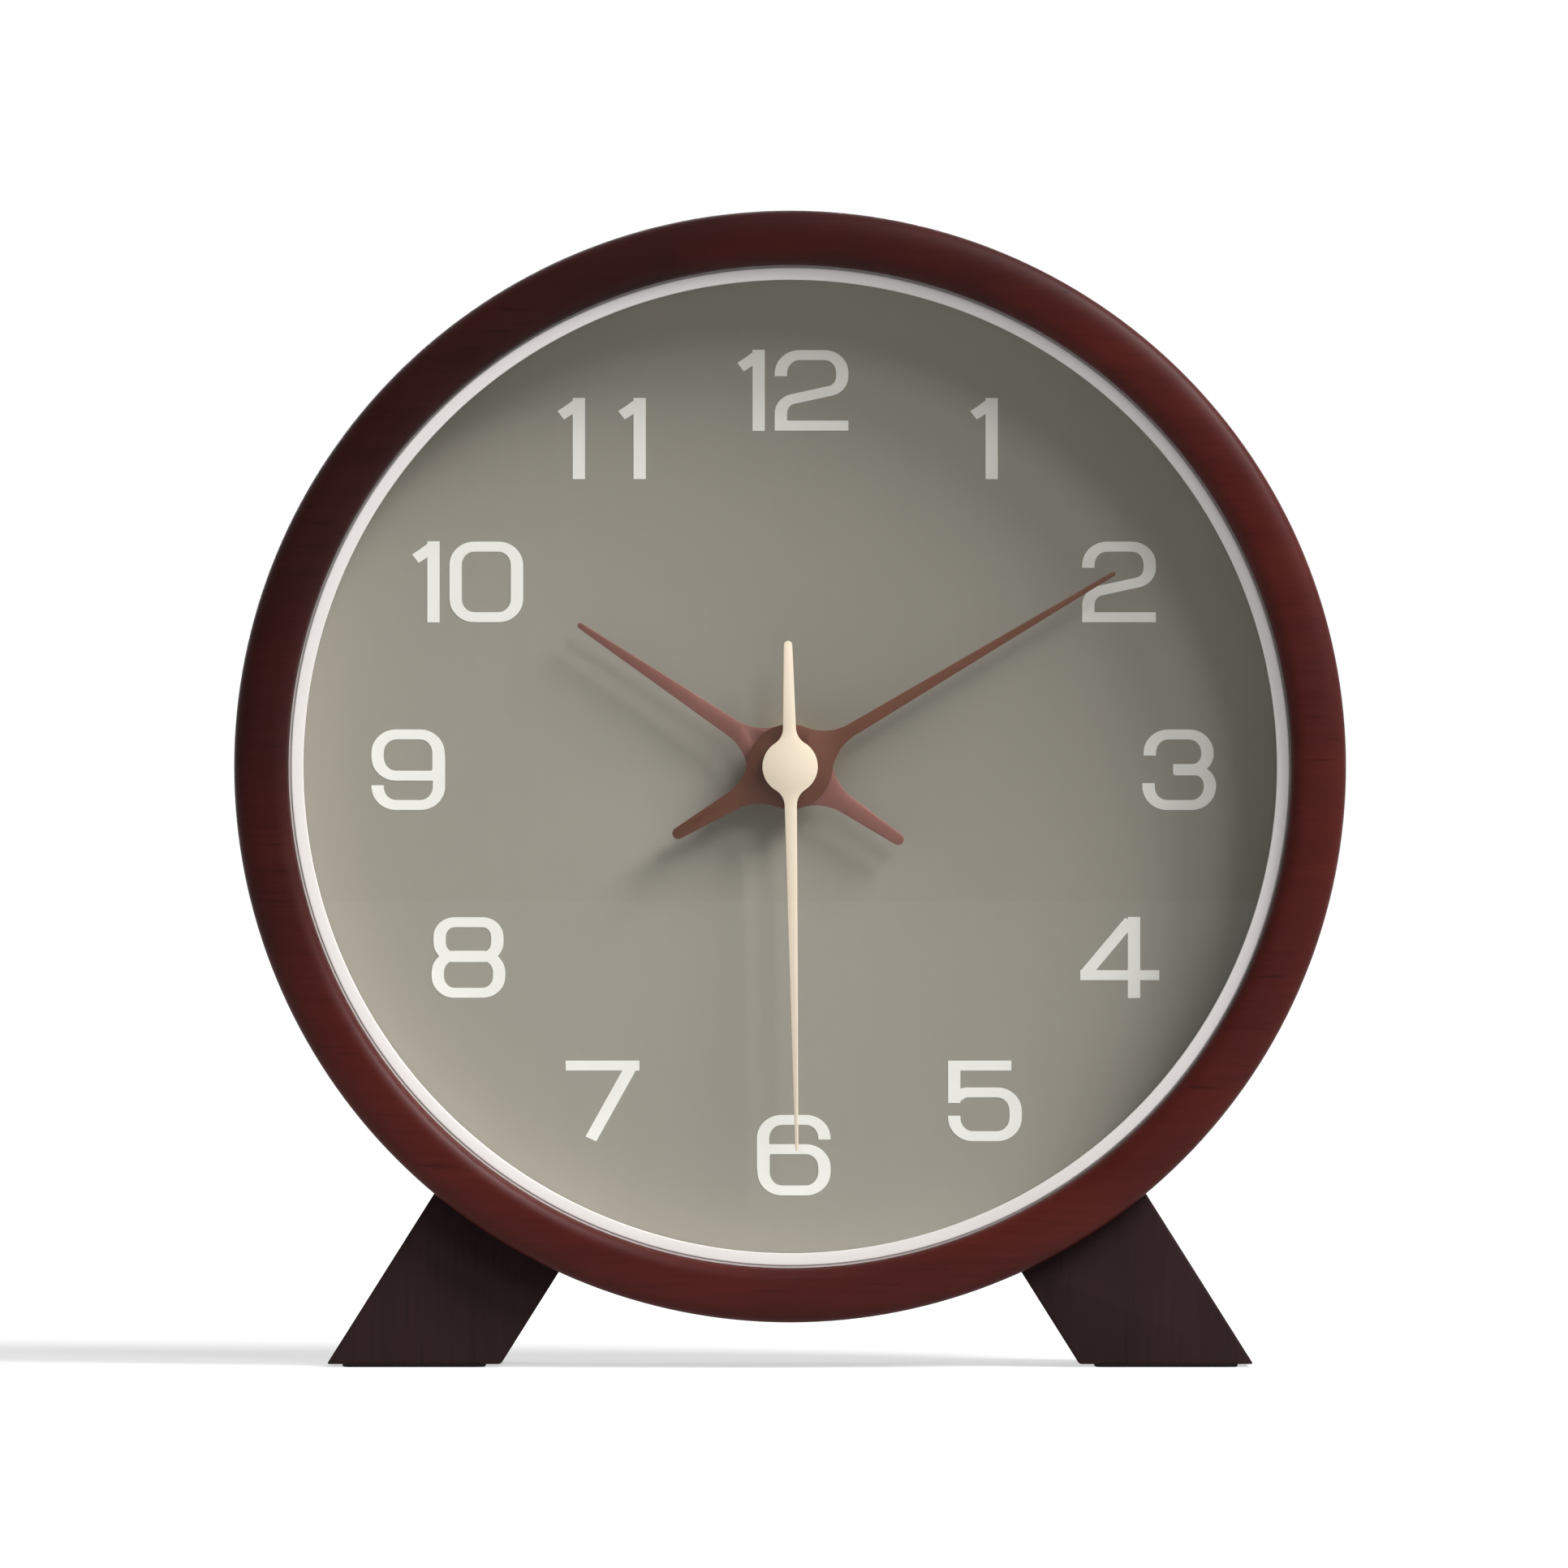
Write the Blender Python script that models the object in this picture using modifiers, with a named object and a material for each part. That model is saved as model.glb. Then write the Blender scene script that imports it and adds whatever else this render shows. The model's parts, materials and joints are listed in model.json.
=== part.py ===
"""Round desk clock: a turned wood case on two splayed feet, with a quartz movement behind its dial.

Lengths are in metres. The clock stands on the plane z = 0 with its face along -Y, and its origin is the
middle of its footprint. Most pieces are drawn in the dial's own frame, an empty on the hands' axis: its
+X is the viewer's right, its +Y is up, and its +Z comes out of the dial towards the viewer. Heights along
that last axis are counted from the middle of the clock's depth.
"""

import math

import bmesh
import bpy
from mathutils import Vector

# Gaps between pieces
SEAT_GAP = 0.0003  # between two pieces that touch
FINE_GAP = 0.0002  # between small pieces inside the movement
PIVOT_GAP = 0.0001  # round an arbor in its bearing
OVERRUN = 0.001  # how far a cutter passes the face that it opens
SUNK = 0.0002  # how far two shapes of one piece reach into each other
WELD_DISTANCE = 0.000001

# Wood case
CASE_RADIUS = 0.0900
RIM_WIDTH = 0.0088
RIM_RISE = 0.0028
BEAD_WALL = 0.0003  # how much of the rise is upright, before the bead's front curves over
LIP_THICKNESS = 0.0007
LIP_OVERLAP = 0.0016
BEAD_OVERHANG = 0.0014
BEAD_UNDERCUT = 0.0020
CASE_EDGE = 0.0008
BEAD_CREST_SHARE = 0.38  # how far across the rim the bead is highest, from its inner edge
BEAD_FULLNESS_SHARE = 0.8  # 1 gives an oval front to the bead, and less a fuller one

# Glass, white rings and dial
GLASS_THICKNESS = 0.0020
GLASS_EDGE = 0.0003
RING_SHOW = 0.0024
BEZEL_RING_THICKNESS = 0.0010
BEZEL_RING_EDGE = 0.0003
DIAL_RING_DEPTH = 0.0116
DIAL_RING_SETBACK = 0.0005  # from the inner edge of the bezel ring in front of it
DIAL_RING_EDGE = 0.0005
DIAL_THICKNESS = 0.0010

# Numbers on the dial
NUMERAL_RADIUS = 0.0619
NUMERAL_HEIGHT = 0.0131
NUMERAL_CORNER = 0.0030
NUMERAL_RELIEF = 0.00015
STROKE_RISE = 0.00001  # from one pen stroke of a number to the next, which lies over it
UPRIGHT_STROKE = 0.0021
LEVEL_STROKE = 0.0017
PAIR_SPACE = 0.0016
ELEVEN_SPACE = 0.0057

# Hands
HAND_THICKNESS = 0.0004
HAND_FLARE = 0.0080
HAND_HUB_RADIUS = 0.0069
HAND_TAIL_REACH = 0.0221
HAND_TAIL_ROOT_WIDTH = 0.0030
HAND_TAIL_END_WIDTH = 0.0019
HOUR_HAND_REACH = 0.0415
HOUR_HAND_ROOT_WIDTH = 0.0029
HOUR_HAND_TIP_WIDTH = 0.0010
MINUTE_HAND_REACH = 0.0615
MINUTE_HAND_ROOT_WIDTH = 0.0021
MINUTE_HAND_TIP_WIDTH = 0.0007
SECOND_HAND_REACH = 0.0624
SECOND_HUB_RADIUS = 0.0045
SECOND_FLARE = 0.0030
SECOND_ROOT_WIDTH = 0.0020
SECOND_TIP_WIDTH = 0.0005
SECOND_TAIL_REACH = 0.0204
SECOND_TAIL_ROOT_WIDTH = 0.0021
SECOND_TAIL_END_WIDTH = 0.0014
HAND_TIP_SHARE = 0.5  # of a hand's end width, across the blunt tip
HAND_SPACING = 0.0009  # from the front of one hand to the back of the bush in front of it
BUSH_FLANGE_THICKNESS = 0.0003
BUSH_FLANGE_WIDTH = 0.0011
BUSH_WALL = 0.0006
BUSH_LENGTH = 0.0011
TUBE_LENGTH = 0.0012

# Feet
RIM_CLEARANCE = 0.0074  # from the floor up to the rim
FOOT_WIDTH = 0.0239
FOOT_DEPTH = 0.0310
FOOT_SETBACK = 0.0009
PAD_THICKNESS = 0.0012
PAD_PROUD = 0.0005
PAD_INSET = 0.0025
PAD_CORNER = 0.0020

# Screws
FOOT_SCREW_LENGTH = 0.0190
FOOT_SCREW_SPACING = 0.0150
FOOT_SCREW_RADIUS = 0.0015
FOOT_SCREW_HEAD_RADIUS = 0.0028
FOOT_SCREW_HEAD_HEIGHT = 0.0017
COVER_SCREW_LENGTH = 0.0110
COVER_SCREW_RADIUS = 0.0012
COVER_SCREW_HEAD_RADIUS = 0.0023
COVER_SCREW_HEAD_HEIGHT = 0.0014
SCREW_POINT = 0.0025
SCREW_POINT_RADIUS = 0.0003
SCREW_HOLE_GAP = 0.00025
SCREW_SINK = 0.0003  # from the wood down to the head
RECESS_DEPTH = 0.0009
RECESS_SLOT = 0.0006
RECESS_SHARE = 0.6  # of the head's radius
RECESS_TAPER_SHARE = 0.8
COVER_SCREWS = 4

# Back cover
COVER_THICKNESS = 0.0022
COVER_INSET = 0.0003
COVER_EDGE = 0.0006
COVER_RECESS = 0.0032  # from the movement's rear face to the cover
SPIGOT_WALL = 0.0018
WINDOW_GAP = 0.0007
WINDOW_CORNER = 0.0030
COLLAR_WALL = 0.0015
COLLAR_GAP = 0.0010  # from the collar to the movement's clips

# Movement body
MOVEMENT_WALL = 0.0008
MOVEMENT_FACE = 0.0012
MOVEMENT_CORNER = 0.0020
BAY_WALL = 0.0010
NECK_RADIUS = 0.0040
NECK_WALL = 0.0012
POST_RADIUS = 0.0015
BOSS_RADIUS = 0.0014
PIVOT_DEPTH = 0.0007
CLIP_WIDTH = 0.0070
CLIP_THICKNESS = 0.0009
CLIP_REACH = 0.0060
CLIP_HOOK = 0.0006
CLIP_HOOK_HEIGHT = 0.0010
CLIP_HIGH = 0.0180
CLIP_LOW = -0.0040
WASHER_THICKNESS = 0.0010
WASHER_RADIUS = 0.0095
METAL_WASHER_THICKNESS = 0.0005
METAL_WASHER_RADIUS = 0.0060
NUT_THICKNESS = 0.0018
NUT_HALF_WIDTH = 0.0055
NUT_SIDES = 6

# Cell and contacts
CELL_LENGTH = 0.0505
CELL_DIAMETER = 0.0142
CELL_NUB_LENGTH = 0.0010
CELL_NUB_RADIUS = 0.0027
CELL_EDGE = 0.0004
CONTACT_THICKNESS = 0.0003
CONTACT_WIDTH = 0.0100
CONTACT_LEG_WIDTH = 0.0030
CONTACT_END_SHARE = 0.25  # of the board's width, past its middle
SPRING_LENGTH = 0.0023
SPRING_BASE_RADIUS = 0.0034
SPRING_TIP_RADIUS = 0.0016
SPRING_WIRE = 0.0004
SPRING_TURNS = 2.5
SPRING_POINTS_PER_TURN = 10

# Wheels and arbors
ARBOR_RADIUS = 0.0005
WHEEL_THICKNESS = 0.0007
WHEEL_SPACE = 0.0006
PINION_OVERHANG = 0.0001
BRIDGE_THICKNESS = 0.0010
BRIDGE_HALF_WIDTH = 0.0200
BRIDGE_RISE = 0.0170
BRIDGE_DROP = 0.0100
BRIDGE_CORNER = 0.0020
POST_INSET = 0.0030
TRAIN_MODULE = 0.00030
MOTION_MODULE = 0.00045
INTERMEDIATE_MODULE = 0.00046
MOTOR_MODULE = 0.00033
CANNON_BORE = 0.0008
CANNON_WALL = 0.0008
HOUR_TUBE_GAP = 0.0003
HOUR_TUBE_WALL = 0.0006
SECONDS_LEAVES = 6
THIRD_TEETH = 48
THIRD_LEAVES = 6
CENTRE_TEETH = 45
ROTOR_LEAVES = 6
INTERMEDIATE_TEETH = 36
INTERMEDIATE_LEAVES = 6
SECONDS_TEETH = 30
CANNON_LEAVES = 10
MINUTE_TEETH = 30
MINUTE_LEAVES = 8
HOUR_TEETH = 32
SETTING_LEAVES = 10
ADDENDUM_SHARE = 0.9  # of the module
DEDENDUM_SHARE = 1.15
TOOTH_ROOT_SHARE = 0.78  # of the angle from one tooth to the next

# Motor, board and knob
ROTOR_RADIUS = 0.0029
ROTOR_THICKNESS = 0.0018
ROTOR_AIR_GAP = 0.0004
STATOR_THICKNESS = 0.0010
STATOR_WIDTH = 0.0080
STATOR_LENGTH = 0.0240
STATOR_LEG_WIDTH = 0.0040
COIL_GAP = 0.0008
COIL_FLANGE_RADIUS = 0.0036
COIL_FLANGE_THICKNESS = 0.0008
COIL_BOBBIN_WALL = 0.0005
COIL_WIRE_DEPTH = 0.0011
COIL_LENGTH = 0.0150
CORE_WIDTH = 0.0024
CORE_THICKNESS = 0.0010
BOARD_THICKNESS = 0.0008
BOARD_WIDTH = 0.0072
CRYSTAL_RADIUS = 0.0010
CRYSTAL_LENGTH = 0.0060
CRYSTAL_PLACE_SHARE = -0.25  # of the board's half length
CHIP_SIDE = 0.0040
CHIP_THICKNESS = 0.0010
CHIP_PLACE_SHARE = -0.6
KNOB_RADIUS = 0.0060
KNOB_THICKNESS = 0.0026
KNOB_RIB = 0.0003
KNOB_RIBS = 20
KNOB_HOLE_SHARE = 0.75  # of the knob's thickness
SETTING_SHAFT_RADIUS = 0.0012

# Directions in the dial's frame, anticlockwise from the viewer's right, and the feet's lean from upright
FOOT_SPLAY = math.radians(32.2)
COVER_SCREW_DIRECTION = math.radians(45)
MINUTE_WHEEL_DIRECTION = math.radians(-15)
SETTING_DIRECTION = math.radians(60)
THIRD_WHEEL_DIRECTION = math.radians(165)
INTERMEDIATE_DIRECTION = math.radians(50)
ROTOR_DIRECTION = math.radians(70)

# The time shown at rest, as hand angles clockwise from 12
HOUR_ANGLE = math.radians(303.9)
MINUTE_ANGLE = math.radians(59.2)
SECOND_ANGLE = math.radians(179.0)

# Steps round a turned piece, and along a drawn curve
CASE_STEPS = 64
DISC_STEPS = 20
PIN_STEPS = 8
BEAD_STEPS = 8
CORNER_STEPS = 2
FOOT_ARC_STEPS = 8
FLARE_STEPS = 4
HUB_STEPS = 5
SHARP_ANGLE = math.radians(35)
SMALL_TURN = math.radians(1)

# Each digit as pen strokes, in shares of its centre-line box: across, up, and the corner's roundness
DIGIT_SHARES = {
    0: [("ring", [(0, 0, 1), (1, 0, 1), (1, 1, 1), (0, 1, 1)])],
    1: [
        ("line", [(1, -0.075, 0), (1, 1.075, 0)]),
        ("line", [(-0.35, 0.83, 0), (0.15, 0.89, 0), (0.95, 1, 0)]),
    ],
    2: [
        (
            "line",
            [(0, 0.70, 0), (0, 1, 1), (1, 1, 0.95), (1, 0.53, 0.8), (0, 0.34, 0.8), (0, 0, 0), (1.1, 0, 0)],
        )
    ],
    3: [
        ("line", [(0.02, 0.70, 0), (0.02, 1, 1), (0.96, 1, 1), (0.96, 0.51, 0.8), (0.4, 0.51, 0)]),
        ("line", [(0.42, 0.49, 0), (1, 0.49, 0.8), (1, 0, 1), (0, 0, 1), (0, 0.31, 0)]),
    ],
    4: [
        ("line", [(0.72, -0.075, 0), (0.72, 1.075, 0)]),
        ("line", [(0, 0.25, 0), (1.09, 0.25, 0)]),
        ("line", [(0, 0.27, 0), (0.66, 1.02, 0)]),
    ],
    5: [
        ("line", [(0.93, 1, 0), (0, 1, 0), (0, 0.47, 0)]),
        ("line", [(0, 0.53, 0), (0.16, 0.62, 0.6), (1, 0.62, 1), (1, 0, 1), (0, 0, 1), (0, 0.29, 0)]),
    ],
    6: [
        ("line", [(1, 0.72, 0), (1, 1, 1), (0, 1, 1), (0, 0.3, 0)]),
        ("ring", [(0.008, 0, 1), (1, 0, 1), (1, 0.585, 1), (0.008, 0.585, 0.4)]),
    ],
    7: [
        ("line", [(-0.1, 1, 0), (1.1, 1, 0)]),
        ("line", [(0.97, 0.99, 0), (0.31, -0.04, 0)]),
    ],
    8: [
        ("ring", [(0, 0, 0.9), (1, 0, 0.9), (1, 0.525, 0.9), (0, 0.525, 0.9)]),
        ("ring", [(0.03, 0.505, 0.8), (0.97, 0.505, 0.8), (0.97, 1, 0.8), (0.03, 1, 0.8)]),
    ],
}
WIDE_DIGIT_SHARE = 0.915  # digit width as a share of its height
ONE_WIDTH_SHARE = 0.32
FOUR_WIDTH_SHARE = 1.0
# How far each number stands from the centre, as a share of the numbers' circle
NUMERAL_REACH_SHARES = {12: 0.997, 3: 1.013, 6: 1.013, 9: 1.013, 1: 1.005, 5: 1.005, 7: 1.005, 11: 1.005}
DIAGONAL_REACH_SHARE = 0.987

# Radii worked out from the case inwards
BARREL_RADIUS = CASE_RADIUS - BEAD_OVERHANG
LIP_RADIUS = CASE_RADIUS - RIM_WIDTH
BORE_RADIUS = LIP_RADIUS + LIP_OVERLAP
FILL_RADIUS = BORE_RADIUS - SEAT_GAP
DIAL_SHOW_RADIUS = LIP_RADIUS - RING_SHOW
SPACER_RADIUS = DIAL_SHOW_RADIUS + DIAL_RING_SETBACK
WALL_MIDDLE_RADIUS = (BORE_RADIUS + BARREL_RADIUS) / 2
COVER_RADIUS = BARREL_RADIUS - COVER_INSET
AXIS_HEIGHT = CASE_RADIUS + RIM_CLEARANCE

# The movement's outline, set by the cell and its contacts
BAY_LENGTH = CELL_LENGTH + SPRING_LENGTH + 2 * CONTACT_THICKNESS + 5 * FINE_GAP
BAY_HEIGHT = CELL_DIAMETER + 2 * SEAT_GAP
MOVEMENT_HALF = BAY_LENGTH / 2 + MOVEMENT_WALL
CHAMBER_HALF = BAY_LENGTH / 2
MOVEMENT_DEPTH = MOVEMENT_FACE + SEAT_GAP + CELL_DIAMETER + SEAT_GAP
BAY_BOTTOM = -CHAMBER_HALF
BAY_TOP = BAY_BOTTOM + BAY_HEIGHT
CHAMBER_BOTTOM = BAY_TOP + BAY_WALL
CELL_Y = (BAY_BOTTOM + BAY_TOP) / 2

# The stack of pieces through the clock, from its front to its back
STACK_DEPTH = (
    RIM_RISE
    + LIP_THICKNESS
    + GLASS_THICKNESS
    + DIAL_RING_DEPTH
    + DIAL_THICKNESS
    + WASHER_THICKNESS
    + MOVEMENT_DEPTH
    + COVER_RECESS
    + COVER_THICKNESS
    + 5 * SEAT_GAP
)
FRONT_Z = STACK_DEPTH / 2
BEAD_Z = FRONT_Z - RIM_RISE
LIP_Z = BEAD_Z - LIP_THICKNESS
GLASS_FRONT = LIP_Z - SEAT_GAP
GLASS_BACK = GLASS_FRONT - GLASS_THICKNESS
RING_FRONT = GLASS_BACK - SEAT_GAP
RING_BACK = RING_FRONT - DIAL_RING_DEPTH
DIAL_FRONT = RING_BACK - SEAT_GAP
DIAL_BACK = DIAL_FRONT - DIAL_THICKNESS
WASHER_FRONT = DIAL_BACK - SEAT_GAP
WASHER_BACK = WASHER_FRONT - WASHER_THICKNESS
MOVEMENT_FRONT = WASHER_BACK - SEAT_GAP
CHAMBER_FRONT = MOVEMENT_FRONT - MOVEMENT_FACE
MOVEMENT_BACK = MOVEMENT_FRONT - MOVEMENT_DEPTH
CHAMBER_BACK = MOVEMENT_BACK + MOVEMENT_FACE
COVER_FRONT = MOVEMENT_BACK - COVER_RECESS
COVER_BACK = -FRONT_Z
CASE_BACK = COVER_FRONT + SEAT_GAP
BARREL_Z = BEAD_Z - BEAD_UNDERCUT
CELL_Z = CHAMBER_FRONT - SEAT_GAP - CELL_DIAMETER / 2

# Layers in front of the dial
METAL_WASHER_BACK = DIAL_FRONT + SEAT_GAP
METAL_WASHER_FRONT = METAL_WASHER_BACK + METAL_WASHER_THICKNESS
NUT_BACK = METAL_WASHER_FRONT + SEAT_GAP
NUT_FRONT = NUT_BACK + NUT_THICKNESS
HOUR_BUSH_BACK = NUT_FRONT + SEAT_GAP
HOUR_HAND_BACK = HOUR_BUSH_BACK + BUSH_FLANGE_THICKNESS + SEAT_GAP
HOUR_HAND_FRONT = HOUR_HAND_BACK + HAND_THICKNESS
MINUTE_BUSH_BACK = HOUR_HAND_FRONT + HAND_SPACING
MINUTE_HAND_BACK = MINUTE_BUSH_BACK + BUSH_FLANGE_THICKNESS + SEAT_GAP
MINUTE_HAND_FRONT = MINUTE_HAND_BACK + HAND_THICKNESS
TUBE_BACK = MINUTE_HAND_FRONT + SEAT_GAP
TUBE_FRONT = TUBE_BACK + TUBE_LENGTH
SECOND_HAND_BACK = TUBE_FRONT + SEAT_GAP
SECOND_HAND_FRONT = SECOND_HAND_BACK + HAND_THICKNESS

# Layers inside the movement, from the motion work back to the motor
HOUR_WHEEL_FRONT = CHAMBER_FRONT - SEAT_GAP
HOUR_WHEEL_BACK = HOUR_WHEEL_FRONT - WHEEL_THICKNESS
MINUTE_WHEEL_FRONT = HOUR_WHEEL_BACK - WHEEL_SPACE
MINUTE_WHEEL_BACK = MINUTE_WHEEL_FRONT - WHEEL_THICKNESS
BRIDGE_FRONT = MINUTE_WHEEL_BACK - WHEEL_SPACE
BRIDGE_BACK = BRIDGE_FRONT - BRIDGE_THICKNESS
CENTRE_WHEEL_FRONT = BRIDGE_BACK - SEAT_GAP
CENTRE_WHEEL_BACK = CENTRE_WHEEL_FRONT - WHEEL_THICKNESS
THIRD_WHEEL_FRONT = CENTRE_WHEEL_BACK - WHEEL_SPACE
THIRD_WHEEL_BACK = THIRD_WHEEL_FRONT - WHEEL_THICKNESS
SECONDS_WHEEL_FRONT = THIRD_WHEEL_BACK - WHEEL_SPACE
SECONDS_WHEEL_BACK = SECONDS_WHEEL_FRONT - WHEEL_THICKNESS
INTERMEDIATE_FRONT = SECONDS_WHEEL_BACK - WHEEL_SPACE
INTERMEDIATE_BACK = INTERMEDIATE_FRONT - WHEEL_THICKNESS
ROTOR_BACK = INTERMEDIATE_FRONT + SEAT_GAP
ROTOR_FRONT = ROTOR_BACK + ROTOR_THICKNESS
STATOR_BACK = (ROTOR_BACK + ROTOR_FRONT - STATOR_THICKNESS) / 2
STATOR_FRONT = STATOR_BACK + STATOR_THICKNESS
BOSS_FRONT = INTERMEDIATE_BACK - SEAT_GAP
ARBOR_FRONT = BRIDGE_FRONT
ARBOR_BACK = CHAMBER_BACK + SEAT_GAP

# Fits round the hands' axis
CANNON_RADIUS = CANNON_BORE + CANNON_WALL
HOUR_TUBE_BORE = CANNON_RADIUS + HOUR_TUBE_GAP
HOUR_TUBE_RADIUS = HOUR_TUBE_BORE + HOUR_TUBE_WALL
NECK_BORE = NECK_RADIUS - NECK_WALL
NECK_HOLE_RADIUS = NECK_RADIUS + SEAT_GAP

# Meshing distances. The third wheel joins two trains, so the centre wheel's module follows from its distance
THIRD_DISTANCE = TRAIN_MODULE * (SECONDS_LEAVES + THIRD_TEETH) / 2
CENTRE_MODULE = 2 * THIRD_DISTANCE / (THIRD_LEAVES + CENTRE_TEETH)
INTERMEDIATE_DISTANCE = INTERMEDIATE_MODULE * (INTERMEDIATE_LEAVES + SECONDS_TEETH) / 2
ROTOR_DISTANCE = MOTOR_MODULE * (ROTOR_LEAVES + INTERMEDIATE_TEETH) / 2
MINUTE_DISTANCE = MOTION_MODULE * (CANNON_LEAVES + MINUTE_TEETH) / 2
SETTING_DISTANCE = MOTION_MODULE * (SETTING_LEAVES + MINUTE_TEETH) / 2


def towards(direction, distance):
    """The point at a distance along a direction in the dial's plane."""
    return Vector((math.cos(direction), math.sin(direction))) * distance


AXIS_XY = Vector((0, 0))
THIRD_XY = towards(THIRD_WHEEL_DIRECTION, THIRD_DISTANCE)
INTERMEDIATE_XY = towards(INTERMEDIATE_DIRECTION, INTERMEDIATE_DISTANCE)
ROTOR_XY = INTERMEDIATE_XY + towards(ROTOR_DIRECTION, ROTOR_DISTANCE)
MINUTE_XY = towards(MINUTE_WHEEL_DIRECTION, MINUTE_DISTANCE)
SETTING_XY = MINUTE_XY + towards(SETTING_DIRECTION, SETTING_DISTANCE)

# Feet
FOOT_FRONT = BARREL_Z - FOOT_SETBACK
FOOT_BACK = FOOT_FRONT - FOOT_DEPTH
FOOT_BOTTOM = PAD_PROUD - AXIS_HEIGHT

# Motor and board, placed from the rotor
STATOR_LEFT = ROTOR_XY.x - STATOR_LENGTH / 2
STATOR_RIGHT = ROTOR_XY.x + STATOR_LENGTH / 2
STATOR_BOTTOM = ROTOR_XY.y - STATOR_WIDTH / 2
STATOR_TOP = ROTOR_XY.y + STATOR_WIDTH / 2
COIL_Y = STATOR_TOP + COIL_GAP + COIL_FLANGE_RADIUS
CORE_BACK = STATOR_FRONT + FINE_GAP
CORE_FRONT = CORE_BACK + CORE_THICKNESS
COIL_Z = (CORE_BACK + CORE_FRONT) / 2
COIL_LEFT = ROTOR_XY.x - COIL_LENGTH / 2
COIL_RIGHT = ROTOR_XY.x + COIL_LENGTH / 2
BOBBIN_BORE = math.hypot(CORE_WIDTH, CORE_THICKNESS) / 2 + FINE_GAP
BOBBIN_RADIUS = BOBBIN_BORE + COIL_BOBBIN_WALL
WINDING_BORE = BOBBIN_RADIUS + FINE_GAP
BOARD_BACK = CHAMBER_BACK + SEAT_GAP
BOARD_FRONT = BOARD_BACK + BOARD_THICKNESS
BOARD_HALF = CHAMBER_HALF - FINE_GAP

# The cell and its contacts, from the bay's left end to its right end
POSITIVE_LEFT = -CHAMBER_HALF + FINE_GAP
POSITIVE_RIGHT = POSITIVE_LEFT + CONTACT_THICKNESS
CELL_LEFT = POSITIVE_RIGHT + FINE_GAP
CELL_RIGHT = CELL_LEFT + CELL_LENGTH
SPRING_TIP_X = CELL_RIGHT + FINE_GAP
SPRING_BASE_X = SPRING_TIP_X + SPRING_LENGTH
NEGATIVE_LEFT = SPRING_BASE_X + FINE_GAP
NEGATIVE_RIGHT = NEGATIVE_LEFT + CONTACT_THICKNESS
CONTACT_BACK = BOARD_FRONT + FINE_GAP
CONTACT_FRONT = CELL_Z + CONTACT_WIDTH / 2
CONTACT_LEG_FRONT = CONTACT_BACK + CONTACT_LEG_WIDTH

# Fits along the arbors
REAR_CASE_FRONT = CHAMBER_FRONT - SEAT_GAP
PIVOT_FRONT = CHAMBER_FRONT + PIVOT_DEPTH - FINE_GAP
HOUR_TUBE_FRONT = HOUR_BUSH_BACK + BUSH_LENGTH
CANNON_FRONT = MINUTE_BUSH_BACK + BUSH_LENGTH
SECONDS_ARBOR_FRONT = TUBE_FRONT - FINE_GAP
KNOB_FRONT = MOVEMENT_BACK - SEAT_GAP
KNOB_BACK = KNOB_FRONT - KNOB_THICKNESS
KNOB_HOLE_BACK = KNOB_FRONT - KNOB_THICKNESS * KNOB_HOLE_SHARE
WINDOW_HALF = MOVEMENT_HALF + WINDOW_GAP


# Scene and materials


def clear_scene():
    for obj in list(bpy.data.objects):
        bpy.data.objects.remove(obj)


def new_collection(name, within):
    collection = bpy.data.collections.new(name)
    within.children.link(collection)
    return collection


def new_frame(name, parent, location, rotation):
    """An empty that pieces are drawn in."""
    frame = bpy.data.objects.new(name, None)
    frame.parent = parent
    frame.location = location
    frame.rotation_euler = rotation
    PARTS.objects.link(frame)
    return frame


clear_scene()
PARTS = new_collection("round_desk_clock", bpy.context.scene.collection)
TOOLS = new_collection("cutters", bpy.context.scene.collection)
QUARTER_TURN = math.pi / 2
# The dial's frame; one in it with +X up, +Y to the viewer and +Z to the right; one with +Y to the viewer
DIAL_FRAME = new_frame("dial_frame", None, (0, 0, AXIS_HEIGHT), (QUARTER_TURN, 0, 0))
ACROSS_FRAME = new_frame("across_frame", DIAL_FRAME, (0, 0, 0), (QUARTER_TURN, 0, QUARTER_TURN))
PLAN_FRAME = new_frame("plan_frame", DIAL_FRAME, (0, 0, 0), (QUARTER_TURN, 0, 0))


def principled(name, colour, roughness, metallic=0.0, transmission=0.0):
    found = bpy.data.materials.get(name)
    if found:
        return found
    made = bpy.data.materials.new(name)
    made.use_nodes = True
    made.diffuse_color = (*colour, 1.0)
    shader = made.node_tree.nodes["Principled BSDF"]
    shader.inputs["Base Color"].default_value = (*colour, 1.0)
    shader.inputs["Roughness"].default_value = roughness
    shader.inputs["Metallic"].default_value = metallic
    shader.inputs["Transmission Weight"].default_value = transmission
    return made


def red_wood():
    return principled("red_wood", (0.085, 0.014, 0.010), 0.42)


def dark_wood():
    return principled("dark_wood", (0.024, 0.014, 0.015), 0.6)


def clear_glass():
    return principled("clear_glass", (0.95, 0.97, 0.96), 0.03, transmission=1.0)


def white_plastic():
    return principled("white_plastic", (0.72, 0.69, 0.68), 0.45)


def dial_paint():
    return principled("dial_paint", (0.26, 0.245, 0.20), 0.55)


def numeral_paint():
    return principled("numeral_paint", (0.80, 0.80, 0.72), 0.6)


def copper_finish():
    return principled("copper_finish", (0.22, 0.07, 0.04), 0.4, metallic=0.6)


def cream_paint():
    return principled("cream_paint", (0.80, 0.66, 0.47), 0.5)


def black_plastic():
    return principled("black_plastic", (0.018, 0.018, 0.019), 0.5)


def grey_plastic():
    return principled("grey_plastic", (0.09, 0.09, 0.095), 0.5)


def acetal():
    return principled("acetal", (0.80, 0.79, 0.74), 0.45)


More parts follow.
